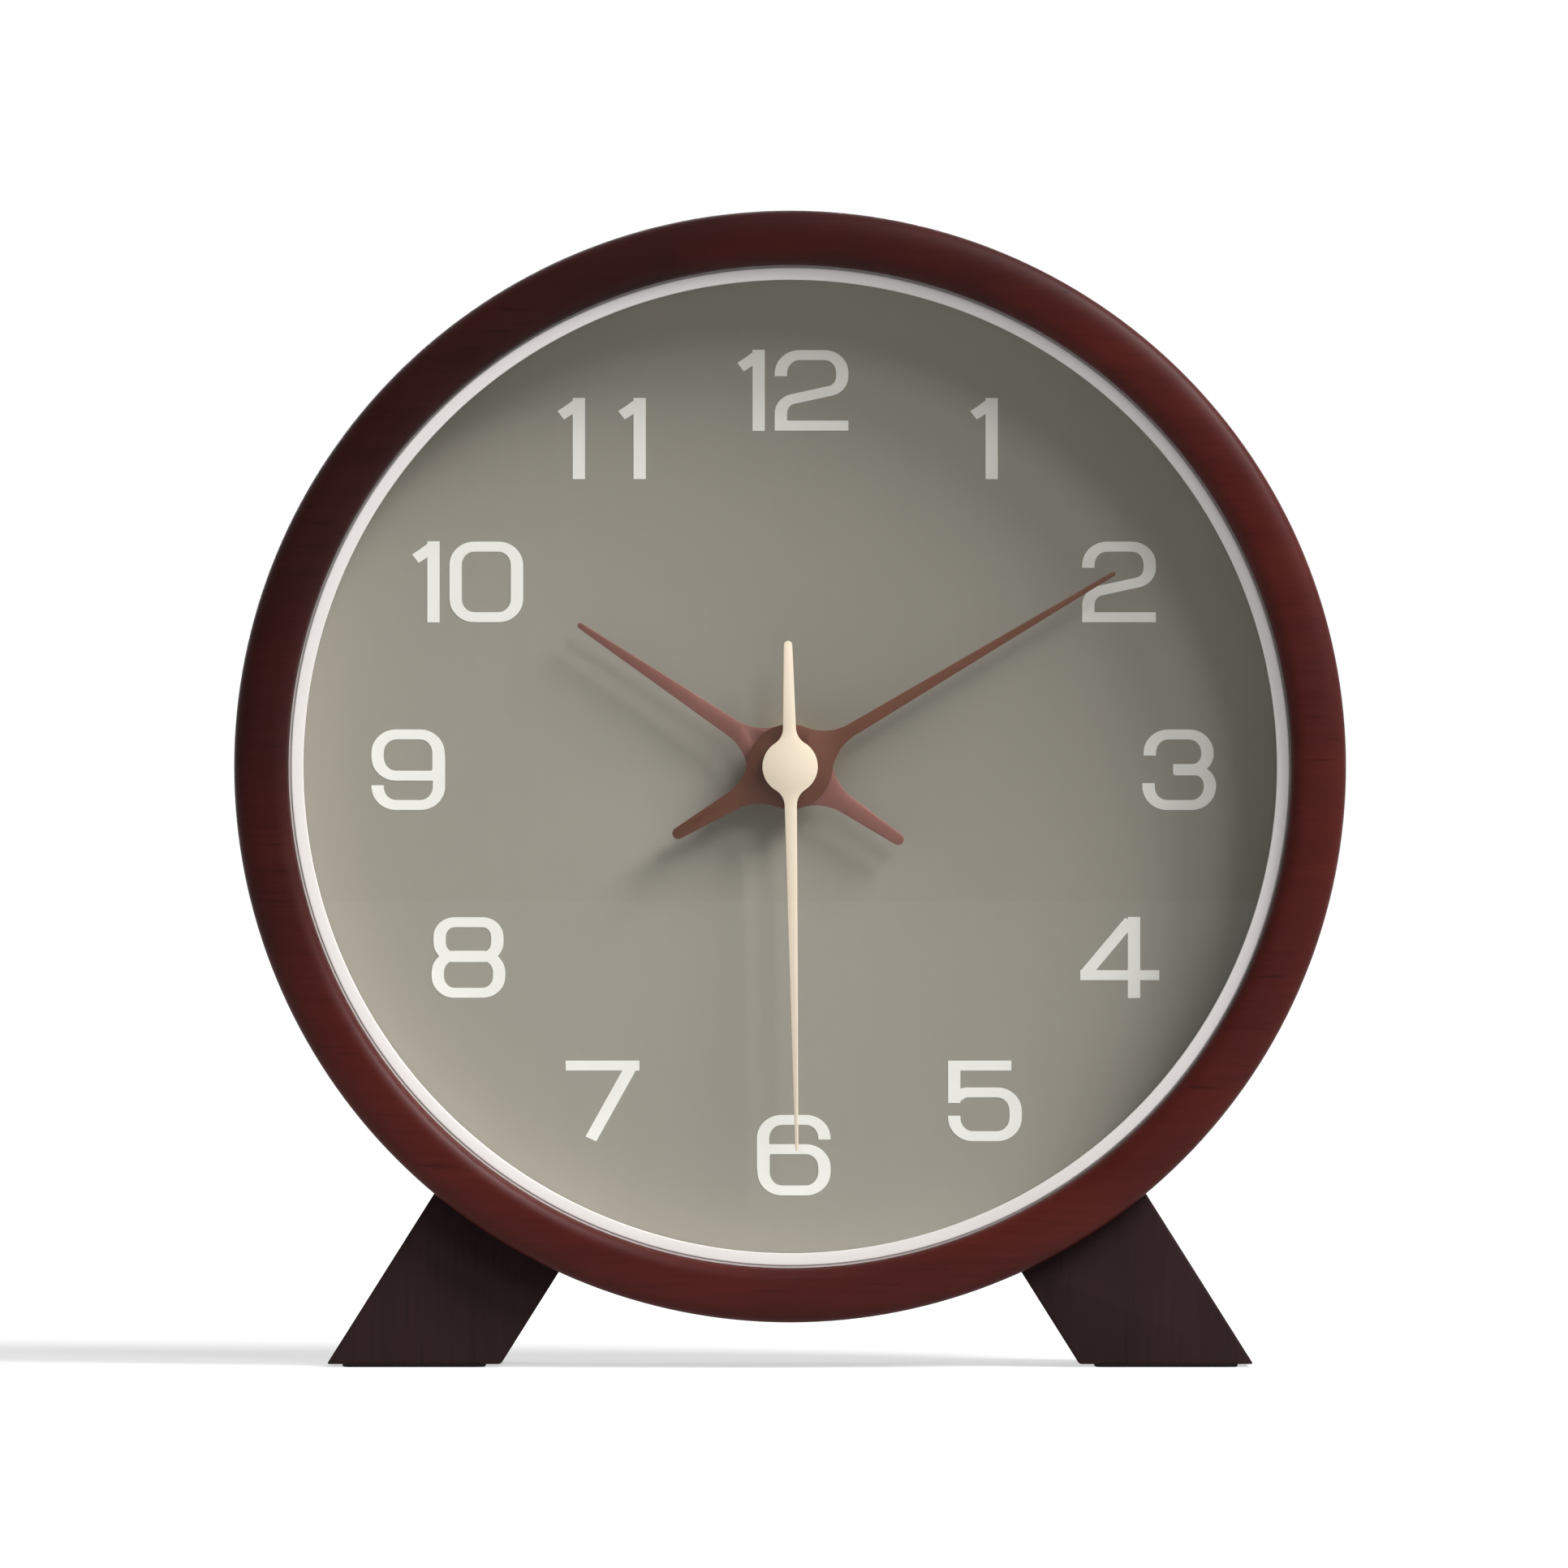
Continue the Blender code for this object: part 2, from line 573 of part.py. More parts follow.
def brass():
    return principled("brass", (0.62, 0.43, 0.16), 0.3, metallic=1.0)


def steel():
    return principled("steel", (0.55, 0.55, 0.56), 0.3, metallic=1.0)


def rubber():
    return principled("rubber", (0.02, 0.02, 0.02), 0.85)


def felt():
    return principled("felt", (0.03, 0.026, 0.026), 0.95)


def silicon_steel():
    return principled("silicon_steel", (0.32, 0.32, 0.33), 0.45, metallic=1.0)


def magnet():
    return principled("magnet", (0.10, 0.10, 0.11), 0.35, metallic=0.8)


def copper_wire():
    return principled("copper_wire", (0.70, 0.28, 0.12), 0.35, metallic=1.0)


def board_green():
    return principled("board_green", (0.02, 0.12, 0.05), 0.4)


def cell_label():
    return principled("cell_label", (0.05, 0.05, 0.06), 0.35, metallic=0.3)


# Shapes


def place(obj, parent, collection):
    obj.parent = parent
    collection.objects.link(obj)
    return obj


def turned(name, profile, steps, material, parent, turn=0.0):
    """A turned piece. Its profile of (radius, height) points ends on the axis, or else closes on itself."""
    mesh = bpy.data.meshes.new(name)
    mesh.materials.append(material)
    cage = bmesh.new()
    points = [cage.verts.new((radius, 0, height)) for radius, height in profile]
    for first, second in zip(points, points[1:]):
        cage.edges.new((first, second))
    if profile[0][0] > 0:
        cage.edges.new((points[-1], points[0]))
    cage.to_mesh(mesh)
    cage.free()
    obj = place(bpy.data.objects.new(name, mesh), parent, PARTS)
    obj.rotation_euler.z = turn
    screw = obj.modifiers.new("Turning", "SCREW")
    screw.axis = "Z"
    screw.angle = 2 * math.pi
    screw.steps = steps
    screw.render_steps = steps
    screw.use_merge_vertices = True
    screw.merge_threshold = WELD_DISTANCE
    return obj


def corner_radius(radius, steps):
    """How far from its axis a faceted hole's corners lie, where its flats clear a radius."""
    return radius / math.cos(math.pi / steps)


def drum(name, radius, bottom, top, steps, material, parent, bore=0.0, xy=AXIS_XY):
    """A plain cylinder, or a tube where it has a bore."""
    if bore > 0:
        bore = corner_radius(bore, steps)
        profile = [(radius, top), (radius, bottom), (bore, bottom), (bore, top)]
    else:
        profile = [(0, top), (radius, top), (radius, bottom), (0, bottom)]
    obj = turned(name, profile, steps, material, parent)
    obj.location.xy = xy
    return obj


def weld(mesh):
    cage = bmesh.new()
    cage.from_mesh(mesh)
    bmesh.ops.remove_doubles(cage, verts=cage.verts, dist=WELD_DISTANCE)
    bmesh.ops.recalc_face_normals(cage, faces=cage.faces)
    cage.to_mesh(mesh)
    cage.free()


def meshed(curve_object, collection):
    """The curve object as a mesh object of the same name, with its caps welded."""
    bpy.context.view_layer.update()
    graph = bpy.context.evaluated_depsgraph_get()
    mesh = bpy.data.meshes.new_from_object(curve_object.evaluated_get(graph), depsgraph=graph)
    weld(mesh)
    name = curve_object.name
    parent = curve_object.parent
    place_in_world = curve_object.matrix_world.copy()
    bpy.data.objects.remove(curve_object)
    obj = place(bpy.data.objects.new(name, mesh), parent, collection)
    bpy.context.view_layer.update()
    obj.matrix_world = place_in_world
    return obj


def extruded(name, outlines, bottom, top, material, parent, collection=None):
    """A flat outline, with any holes, drawn out from one height to another."""
    collection = collection or PARTS
    curve = bpy.data.curves.new(name, "CURVE")
    curve.dimensions = "2D"
    curve.fill_mode = "BOTH"
    curve.extrude = (top - bottom) / 2
    curve.materials.append(material)
    for outline in outlines:
        spline = curve.splines.new("POLY")
        spline.points.add(len(outline) - 1)
        for point, (x, y) in zip(spline.points, outline):
            point.co = (x, y, 0, 1)
        spline.use_cyclic_u = True
    obj = place(bpy.data.objects.new(name, curve), parent, collection)
    obj.location.z = (top + bottom) / 2
    return meshed(obj, collection)


def block(name, low, high, material, parent, collection=None):
    """A box between two corners."""
    mesh = bpy.data.meshes.new(name)
    mesh.materials.append(material)
    cage = bmesh.new()
    bmesh.ops.create_cube(cage, size=1)
    low = Vector(low)
    high = Vector(high)
    bmesh.ops.scale(cage, vec=high - low, verts=cage.verts)
    cage.to_mesh(mesh)
    cage.free()
    obj = place(bpy.data.objects.new(name, mesh), parent, collection or PARTS)
    obj.location = (low + high) / 2
    return obj


def hide(tool, collection):
    """Keep a cutter or a shape to be joined on as a hidden guide."""
    for holder in tool.users_collection:
        holder.objects.unlink(tool)
    collection.objects.link(tool)
    tool.hide_render = True
    tool.display_type = "WIRE"


def combine(target, tool, operation):
    """Cut the tool from the target, or join it on."""
    hide(tool, TOOLS)
    boolean = target.modifiers.new(tool.name, "BOOLEAN")
    boolean.operation = operation
    boolean.solver = "EXACT"
    boolean.object = tool


def cut(target, tool):
    combine(target, tool, "DIFFERENCE")


def join(target, tool):
    combine(target, tool, "UNION")


def drill(target, name, radius, bottom, top, steps, xy=AXIS_XY):
    """A round hole along the hands' axis, or beside it."""
    material = target.active_material
    cut(target, drum(name, corner_radius(radius, steps), bottom, top, steps, material, DIAL_FRAME, xy=xy))


def settle_parts():
    """Turn every part's modifiers into its own mesh, smooth up to its sharp edges."""
    bpy.context.view_layer.update()
    graph = bpy.context.evaluated_depsgraph_get()
    solids = [obj for obj in PARTS.objects if obj.type == "MESH"]
    made = {}
    for obj in solids:
        made[obj.name] = bpy.data.meshes.new_from_object(obj.evaluated_get(graph), depsgraph=graph)
    for obj in solids:
        mesh = made[obj.name]
        weld(mesh)
        obj.modifiers.clear()
        obj.data = mesh
        mesh.name = obj.name
        mesh.shade_smooth()
        mesh.set_sharp_from_angle(angle=SHARP_ANGLE)


# Outlines


def round_hole(radius, steps, centre=AXIS_XY):
    """A faceted circle whose flats clear the radius."""
    reach = corner_radius(radius, steps)
    return [tuple(centre + towards(2 * math.pi * i / steps, reach)) for i in range(steps)]


def fillet(before, corner, after, radius, steps):
    """The corner's points once it is rounded, on an arc that meets both of its sides."""
    corner = Vector(corner)
    arriving = (corner - Vector(before)).normalized()
    leaving = (Vector(after) - corner).normalized()
    turn = arriving.angle_signed(leaving, 0)
    if radius <= 0 or abs(turn) < SMALL_TURN:
        return [tuple(corner)]
    reach = radius * math.tan(abs(turn) / 2)
    start = corner - arriving * reach
    side = Vector((-arriving.y, arriving.x)) if turn < 0 else Vector((arriving.y, -arriving.x))
    centre = start + side * radius
    spoke = start - centre
    points = []
    for i in range(steps + 1):
        angle = -turn * i / steps
        points.append(
            (
                centre.x + spoke.x * math.cos(angle) - spoke.y * math.sin(angle),
                centre.y + spoke.x * math.sin(angle) + spoke.y * math.cos(angle),
            )
        )
    return points


def rounded(corners, steps, closed=True):
    """An outline whose (x, y, radius) corners are rounded."""
    points = []
    count = len(corners)
    for i, (x, y, radius) in enumerate(corners):
        if not closed and i in (0, count - 1):
            points.append((x, y))
        else:
            points += fillet(corners[i - 1][:2], (x, y), corners[(i + 1) % count][:2], radius, steps)
    return points


def rounded_rectangle(left, right, bottom, top, radius, steps=CORNER_STEPS):
    corners = [(left, bottom, radius), (right, bottom, radius), (right, top, radius), (left, top, radius)]
    return rounded(corners, steps)


def gear_outline(teeth, module, phase):
    """Pointed teeth on a pitch circle, with a tooth centred on the phase angle."""
    pitch_radius = teeth * module / 2
    tip_radius = pitch_radius + module * ADDENDUM_SHARE
    root_radius = pitch_radius - module * DEDENDUM_SHARE
    root_half = TOOTH_ROOT_SHARE * math.pi / teeth
    points = []
    for i in range(teeth):
        middle = phase + 2 * math.pi * i / teeth
        for radius, offset in ((root_radius, -root_half), (tip_radius, 0), (root_radius, root_half)):
            points.append(tuple(towards(middle + offset, radius)))
    return points


def meshing_phase(direction, phase, teeth, other_teeth):
    """The phase of a wheel that meshes with another one, seen from that one along the direction."""
    offset = (direction - phase) * teeth / (2 * math.pi)
    return direction + math.pi - (0.5 - offset) * 2 * math.pi / other_teeth


def hand_outline(reach, tip_width, root_width, tail_reach, tail_end_width, tail_root, hub_radius, flare):
    """A hand that points along +Y: tapered arm and tail, which flare into a round hub."""
    right = []
    for side, length, root, end in (
        (-1, tail_reach, tail_root, tail_end_width),
        (1, reach, root_width, tip_width),
    ):
        flare_x = root / 2 + flare
        flare_y = math.sqrt((hub_radius + flare) ** 2 - flare_x**2)
        start = math.pi
        finish = math.pi + math.atan2(flare_y, flare_x)
        blunt = end * HAND_TIP_SHARE / 2
        branch = [(blunt, length), (end / 2, length - blunt)]
        for i in range(FLARE_STEPS + 1):
            angle = start + (finish - start) * i / FLARE_STEPS
            branch.append((flare_x + flare * math.cos(angle), flare_y + flare * math.sin(angle)))
        branch = [(x, side * y) for x, y in branch]
        if side < 0:
            right += branch
            tail_finish = math.atan2(-flare_y, flare_x)
        else:
            arm_finish = math.atan2(flare_y, flare_x)
            for i in range(1, HUB_STEPS):
                angle = tail_finish + (arm_finish - tail_finish) * i / HUB_STEPS
                right.append((hub_radius * math.cos(angle), hub_radius * math.sin(angle)))
            right += branch[::-1]
    left = [(-x, y) for x, y in right[::-1]]
    return right + left


# Numbers on the dial


def pen_stroke(path, closed):
    """The outline that a pen leaves along a path: wide on uprights and thin on level strokes."""
    path = [Vector(point) for point in path]
    count = len(path)
    sides = ([], [])
    for i, point in enumerate(path):
        steps = []
        if closed or i > 0:
            steps.append((point - path[i - 1]).normalized())
        if closed or i < count - 1:
            steps.append((path[(i + 1) % count] - point).normalized())
        normals = [Vector((-step.y, step.x)) for step in steps]
        mitre = normals[0]
        if len(normals) > 1:
            mitre = (normals[0] + normals[1]) / (1 + normals[0].dot(normals[1]))
        offset = Vector((mitre.x * UPRIGHT_STROKE / 2, mitre.y * LEVEL_STROKE / 2))
        sides[0].append(tuple(point + offset))
        sides[1].append(tuple(point - offset))
    if closed:
        return [sides[0], sides[1]]
    return [sides[0] + sides[1][::-1]]


def digit_width(digit):
    share = {1: ONE_WIDTH_SHARE, 4: FOUR_WIDTH_SHARE}.get(digit, WIDE_DIGIT_SHARE)
    return NUMERAL_HEIGHT * share


def digit_strokes(digit, left, middle):
    """The strokes of one digit whose box starts at the left and is centred on the middle height."""
    width = digit_width(digit) - UPRIGHT_STROKE
    height = NUMERAL_HEIGHT - LEVEL_STROKE
    source = DIGIT_SHARES[6] if digit == 9 else DIGIT_SHARES[digit]
    strokes = []
    for kind, shares in source:
        corners = []
        for across, up, roundness in shares:
            if digit == 9:
                across, up = 1 - across, 1 - up
            x = left + UPRIGHT_STROKE / 2 + across * width
            y = middle - height / 2 + up * height
            corners.append((x, y, roundness * NUMERAL_CORNER))
        closed = kind == "ring"
        strokes.append(pen_stroke(rounded(corners, CORNER_STEPS, closed), closed))
    return strokes


def number_strokes(number):
    """The strokes of an upright number on its place round the dial."""
    digits = [int(character) for character in str(number)]
    space = ELEVEN_SPACE if number == 11 else PAIR_SPACE
    width = sum(digit_width(digit) for digit in digits) + space * (len(digits) - 1)
    reach = NUMERAL_RADIUS * NUMERAL_REACH_SHARES.get(number, DIAGONAL_REACH_SHARE)
    centre = towards(math.pi / 2 - number * math.pi / 6, reach)
    left = centre.x - width / 2
    strokes = []
    for digit in digits:
        strokes += digit_strokes(digit, left, centre.y)
        left += digit_width(digit) + space
    return strokes


# Case


def make_wood_case():
    """The turned wood ring: a full bead in front, a lip that holds the glass, and a plain barrel behind."""
    crest = LIP_RADIUS + RIM_WIDTH * BEAD_CREST_SHARE
    crown = RIM_RISE - BEAD_WALL
    profile = [(LIP_RADIUS, BEAD_Z)]
    for i in range(BEAD_STEPS + 1):
        angle = math.pi * (1 - i / BEAD_STEPS)
        side = crest - LIP_RADIUS if i < BEAD_STEPS / 2 else CASE_RADIUS - crest
        across = math.copysign(abs(math.cos(angle)) ** BEAD_FULLNESS_SHARE, math.cos(angle))
        up = math.sin(angle) ** BEAD_FULLNESS_SHARE if 0 < i < BEAD_STEPS else 0
        profile.append((crest + side * across, BEAD_Z + BEAD_WALL + crown * up))
    profile += [
        (CASE_RADIUS, BEAD_Z),
        (BARREL_RADIUS, BARREL_Z),
        (BARREL_RADIUS, CASE_BACK + CASE_EDGE),
        (BARREL_RADIUS - CASE_EDGE, CASE_BACK),
        (BORE_RADIUS, CASE_BACK),
        (BORE_RADIUS, LIP_Z),
        (LIP_RADIUS, LIP_Z),
    ]
    return turned("wood_case", profile, CASE_STEPS, red_wood(), DIAL_FRAME)


def make_front_glass():
    profile = [
        (0, GLASS_FRONT),
        (FILL_RADIUS - GLASS_EDGE, GLASS_FRONT),
        (FILL_RADIUS, GLASS_FRONT - GLASS_EDGE),
        (FILL_RADIUS, GLASS_BACK + GLASS_EDGE),
        (FILL_RADIUS - GLASS_EDGE, GLASS_BACK),
        (0, GLASS_BACK),
    ]
    turned("front_glass", profile, CASE_STEPS, clear_glass(), DIAL_FRAME)


def make_bezel_ring():
    """The flat white ring that lies on the glass, inside the wood ring's lip."""
    outer = LIP_RADIUS - SEAT_GAP
    back = GLASS_FRONT + SEAT_GAP
    front = back + BEZEL_RING_THICKNESS
    profile = [
        (DIAL_SHOW_RADIUS, front - BEZEL_RING_EDGE),
        (DIAL_SHOW_RADIUS + BEZEL_RING_EDGE, front),
        (outer - BEZEL_RING_EDGE, front),
        (outer, front - BEZEL_RING_EDGE),
        (outer, back),
        (DIAL_SHOW_RADIUS, back),
    ]
    turned("bezel_ring", profile, CASE_STEPS, white_plastic(), DIAL_FRAME)


def make_dial_ring():
    """The white ring that holds the glass and the dial apart."""
    profile = [
        (SPACER_RADIUS + DIAL_RING_EDGE, RING_FRONT),
        (FILL_RADIUS, RING_FRONT),
        (FILL_RADIUS, RING_BACK),
        (SPACER_RADIUS, RING_BACK),
        (SPACER_RADIUS, RING_FRONT - DIAL_RING_EDGE),
    ]
    turned("dial_ring", profile, CASE_STEPS, white_plastic(), DIAL_FRAME)


def make_dial_plate():
    """The dial, with its numbers standing up by the paint's thickness and a hole for the movement's neck."""
    profile = [(FILL_RADIUS, DIAL_FRONT), (FILL_RADIUS, DIAL_BACK), (NECK_HOLE_RADIUS, DIAL_BACK)]
    profile.append((NECK_HOLE_RADIUS, DIAL_FRONT))
    dial = turned("dial_plate", profile, CASE_STEPS, dial_paint(), DIAL_FRAME)
    strokes = new_collection("number_strokes", TOOLS)
    for number in range(1, 13):
        for i, outlines in enumerate(number_strokes(number)):
            name = f"number_{number}_stroke_{i + 1}"
            low = DIAL_FRONT - SUNK - i * STROKE_RISE
            high = DIAL_FRONT + NUMERAL_RELIEF + i * STROKE_RISE
            hide(extruded(name, outlines, low, high, numeral_paint(), DIAL_FRAME), strokes)
    numbers = dial.modifiers.new("Numbers", "BOOLEAN")
    numbers.operation = "UNION"
    numbers.solver = "EXACT"
    numbers.operand_type = "COLLECTION"
    numbers.collection = strokes
    numbers.material_mode = "TRANSFER"


# Feet and screws


def foot_direction(side):
    """The way a foot points from the hands' axis. The left foot's side is -1 and the right one's is 1."""
    return Vector((side * math.sin(FOOT_SPLAY), -math.cos(FOOT_SPLAY)))


def foot_outline(side):
    """A bar that leans outwards, hollowed on top to fit the barrel and cut level at the bottom."""
    along = foot_direction(side)
    top_radius = BARREL_RADIUS + SEAT_GAP
    middle = math.atan2(along.y, along.x)
    spread = math.asin(FOOT_WIDTH / 2 / top_radius)
    points = []
    for i in range(FOOT_ARC_STEPS + 1):
        points.append(towards(middle + spread * (2 * i / FOOT_ARC_STEPS - 1), top_radius))
    for start in (points[-1], points[0]):
        points.append(start + along * ((FOOT_BOTTOM - start.y) / along.y))
    return [tuple(point) for point in points]


def pad_outline(side, grown):
    """The pad's outline seen from above, grown by a clearance for its pocket."""
    ends = [x for x, y in foot_outline(side)[-2:]]
    inset = PAD_INSET - grown
    return rounded_rectangle(
        min(ends) + inset, max(ends) - inset, inset - FOOT_FRONT, -FOOT_BACK - inset, PAD_CORNER + grown
    )


def make_foot(name, side):
    foot = extruded(name, [foot_outline(side)], FOOT_BACK, FOOT_FRONT, dark_wood(), DIAL_FRAME)
    pocket = pad_outline(side, SEAT_GAP)
    cut(foot, extruded(f"{name}_pocket", [pocket], -OVERRUN, PAD_THICKNESS + SEAT_GAP, felt(), None))
    extruded(f"{name}_pad", [pad_outline(side, 0)], 0, PAD_THICKNESS, felt(), None)
    return foot


def screw_body(name, length, radius, head_radius, head_height, origin, direction, grown=0, rise=0):
    """A countersunk screw that points along a direction, or its hole, drawn out at the head by a rise."""
    profile = [(0, rise), (head_radius + grown, rise)]
    if rise > 0:
        profile.append((head_radius + grown, 0))
    profile += [
        (radius + grown, -head_height),
        (radius + grown, SCREW_POINT - length),
        (SCREW_POINT_RADIUS + grown, -length - grown),
        (0, -length - grown),
    ]
    screw = turned(name, profile, PIN_STEPS, steel(), DIAL_FRAME)
    screw.location = origin
    screw.rotation_euler = Vector(direction).to_track_quat("-Z", "Y").to_euler()
    return screw


def make_screw(name, length, radius, head_radius, head_height, origin, direction, holders):
    """A screw with a cross recess, and its hole in each piece that holds it."""
    sizes = (length, radius, head_radius, head_height, origin, direction)
    screw = screw_body(name, *sizes)
    reach = head_radius * RECESS_SHARE
    half = RECESS_SLOT / 2
    tip = half * RECESS_TAPER_SHARE
    corners = [(reach, tip), (half, half), (tip, reach)]
    cross = []
    for turn in range(4):
        quarter = [Vector((x, y)) for x, y in corners]
        for point in quarter:
            cross.append(tuple(towards(turn * QUARTER_TURN + math.atan2(point.y, point.x), point.length)))
    cut(screw, extruded(f"{name}_recess", [cross], -RECESS_DEPTH, OVERRUN, steel(), screw))
    hole = screw_body(f"{name}_hole", *sizes, grown=SCREW_HOLE_GAP, rise=SCREW_SINK + OVERRUN)
    for holder in holders:
        cut(holder, hole)


def make_foot_screws(case, foot, foot_name, side):
    """Two screws that hold a foot, driven outwards from inside the case."""
    along = foot_direction(side)
    middle = (FOOT_FRONT + FOOT_BACK) / 2
    for place, offset in (("front", FOOT_SCREW_SPACING / 2), ("rear", -FOOT_SCREW_SPACING / 2)):
        start = along * (BORE_RADIUS + SCREW_SINK)
        make_screw(
            f"{foot_name}_screw_{place}",
            FOOT_SCREW_LENGTH,
            FOOT_SCREW_RADIUS,
            FOOT_SCREW_HEAD_RADIUS,
            FOOT_SCREW_HEAD_HEIGHT,
            (start.x, start.y, middle + offset),
            (along.x, along.y, 0),
            (case, foot),
        )


def make_cover_screws(case, cover):
    for i in range(COVER_SCREWS):
        place = towards(COVER_SCREW_DIRECTION + 2 * math.pi * i / COVER_SCREWS, WALL_MIDDLE_RADIUS)
        make_screw(
            f"cover_screw_{i + 1}",
            COVER_SCREW_LENGTH,
            COVER_SCREW_RADIUS,
            COVER_SCREW_HEAD_RADIUS,
            COVER_SCREW_HEAD_HEIGHT,
            (place.x, place.y, COVER_BACK + SCREW_SINK),
            (0, 0, 1),
            (cover, case),
        )


def square_outline(half, corner):
    return rounded_rectangle(-half, half, -half, half, corner)


def make_back_cover():
    """The back: its spigot holds the dial, ring and glass in place, and its window opens on the movement."""
    profile = [
        (0, COVER_FRONT),
        (FILL_RADIUS - SPIGOT_WALL, COVER_FRONT),
        (FILL_RADIUS - SPIGOT_WALL, DIAL_BACK - SEAT_GAP),
        (FILL_RADIUS, DIAL_BACK - SEAT_GAP),
        (FILL_RADIUS, COVER_FRONT),
        (COVER_RADIUS, COVER_FRONT),
        (COVER_RADIUS, COVER_BACK + COVER_EDGE),
        (COVER_RADIUS - COVER_EDGE, COVER_BACK),
        (0, COVER_BACK),
    ]
    cover = turned("back_cover", profile, CASE_STEPS, black_plastic(), DIAL_FRAME)
    collar_front = MOVEMENT_FRONT - CLIP_REACH - COLLAR_GAP
    collar = [square_outline(WINDOW_HALF + COLLAR_WALL, WINDOW_CORNER + COLLAR_WALL)]
    low = COVER_FRONT - SUNK
    join(cover, extruded("cover_collar", collar, low, collar_front, black_plastic(), DIAL_FRAME))
    window = [square_outline(WINDOW_HALF, WINDOW_CORNER)]
    low = COVER_BACK - OVERRUN
    high = collar_front + OVERRUN
    cut(cover, extruded("cover_window", window, low, high, black_plastic(), DIAL_FRAME))
    return cover


# Hands


def make_hand(name, outline, hole_radius, back, angle, material):
    outlines = [outline]
    if hole_radius > 0:
        outlines.append(round_hole(hole_radius, DISC_STEPS))
    hand = extruded(name, outlines, back, back + HAND_THICKNESS, material, DIAL_FRAME)
    hand.rotation_euler.z = -angle


def make_bush(name, shaft_radius, back):
    """A flanged sleeve that carries a hand on its tube."""
    bore = corner_radius(shaft_radius + PIVOT_GAP, DISC_STEPS)
    neck = bore + BUSH_WALL
    flange = neck + BUSH_FLANGE_WIDTH
    profile = [
        (neck, back + BUSH_LENGTH),
        (neck, back + BUSH_FLANGE_THICKNESS),
        (flange, back + BUSH_FLANGE_THICKNESS),
        (flange, back),
        (bore, back),
        (bore, back + BUSH_LENGTH),
    ]
    turned(name, profile, DISC_STEPS, brass(), DIAL_FRAME)
    return neck + FINE_GAP


def make_hour_hand():
    hole_radius = make_bush("hour_hand_bush", HOUR_TUBE_RADIUS, HOUR_BUSH_BACK)
    outline = hand_outline(
        HOUR_HAND_REACH,
        HOUR_HAND_TIP_WIDTH,
        HOUR_HAND_ROOT_WIDTH,
        HAND_TAIL_REACH,
        HAND_TAIL_END_WIDTH,
        HAND_TAIL_ROOT_WIDTH,
        HAND_HUB_RADIUS,
        HAND_FLARE,
    )
    make_hand("hour_hand", outline, hole_radius, HOUR_HAND_BACK, HOUR_ANGLE, copper_finish())


def make_minute_hand():
    hole_radius = make_bush("minute_hand_bush", CANNON_RADIUS, MINUTE_BUSH_BACK)
    outline = hand_outline(
        MINUTE_HAND_REACH,
        MINUTE_HAND_TIP_WIDTH,
        MINUTE_HAND_ROOT_WIDTH,
        HAND_TAIL_REACH,
        HAND_TAIL_END_WIDTH,
        HAND_TAIL_ROOT_WIDTH,
        HAND_HUB_RADIUS,
        HAND_FLARE,
    )
    make_hand("minute_hand", outline, hole_radius, MINUTE_HAND_BACK, MINUTE_ANGLE, copper_finish())


def make_second_hand():
    outline = hand_outline(
        SECOND_HAND_REACH,
        SECOND_TIP_WIDTH,
        SECOND_ROOT_WIDTH,
        SECOND_TAIL_REACH,
        SECOND_TAIL_END_WIDTH,
        SECOND_TAIL_ROOT_WIDTH,
        SECOND_HUB_RADIUS,
        SECOND_FLARE,
    )
    make_hand("second_hand", outline, 0, SECOND_HAND_BACK, SECOND_ANGLE, cream_paint())
    bore = corner_radius(ARBOR_RADIUS + PIVOT_GAP, DISC_STEPS)
    neck = bore + BUSH_WALL
    flange = neck + BUSH_FLANGE_WIDTH
    profile = [
        (flange, TUBE_FRONT),
        (flange, TUBE_FRONT - BUSH_FLANGE_THICKNESS),
        (neck, TUBE_FRONT - BUSH_FLANGE_THICKNESS),
        (neck, TUBE_BACK),
        (bore, TUBE_BACK),
        (bore, TUBE_FRONT),
    ]
    turned("second_hand_tube", profile, DISC_STEPS, brass(), DIAL_FRAME)


# Movement body


def bridge_corners():
    """The posts' places near the bridge's corners. The last one stands over the stator."""
    right = BRIDGE_HALF_WIDTH - POST_INSET
    low = POST_INSET - BRIDGE_DROP
    high = BRIDGE_RISE - POST_INSET
    return [Vector((-right, low)), Vector((right, low)), Vector((-right, high)), Vector((right, high))]


def clip_outline(side):
    """A clip seen from above: a lug on the front plate, an arm down the side and a hook at its end."""
    outer = MOVEMENT_HALF + SEAT_GAP
    end = MOVEMENT_FRONT - CLIP_REACH
    corners = [
        (MOVEMENT_HALF - SUNK, MOVEMENT_FRONT),
        (outer + CLIP_THICKNESS, MOVEMENT_FRONT),
        (outer + CLIP_THICKNESS, end),
        (MOVEMENT_HALF - CLIP_HOOK, end),
        (MOVEMENT_HALF - CLIP_HOOK, end + CLIP_HOOK_HEIGHT),
        (outer, end + CLIP_HOOK_HEIGHT),
        (outer, CHAMBER_FRONT),
        (MOVEMENT_HALF - SUNK, CHAMBER_FRONT),
    ]
    return [(side * x, z) for x, z in corners]


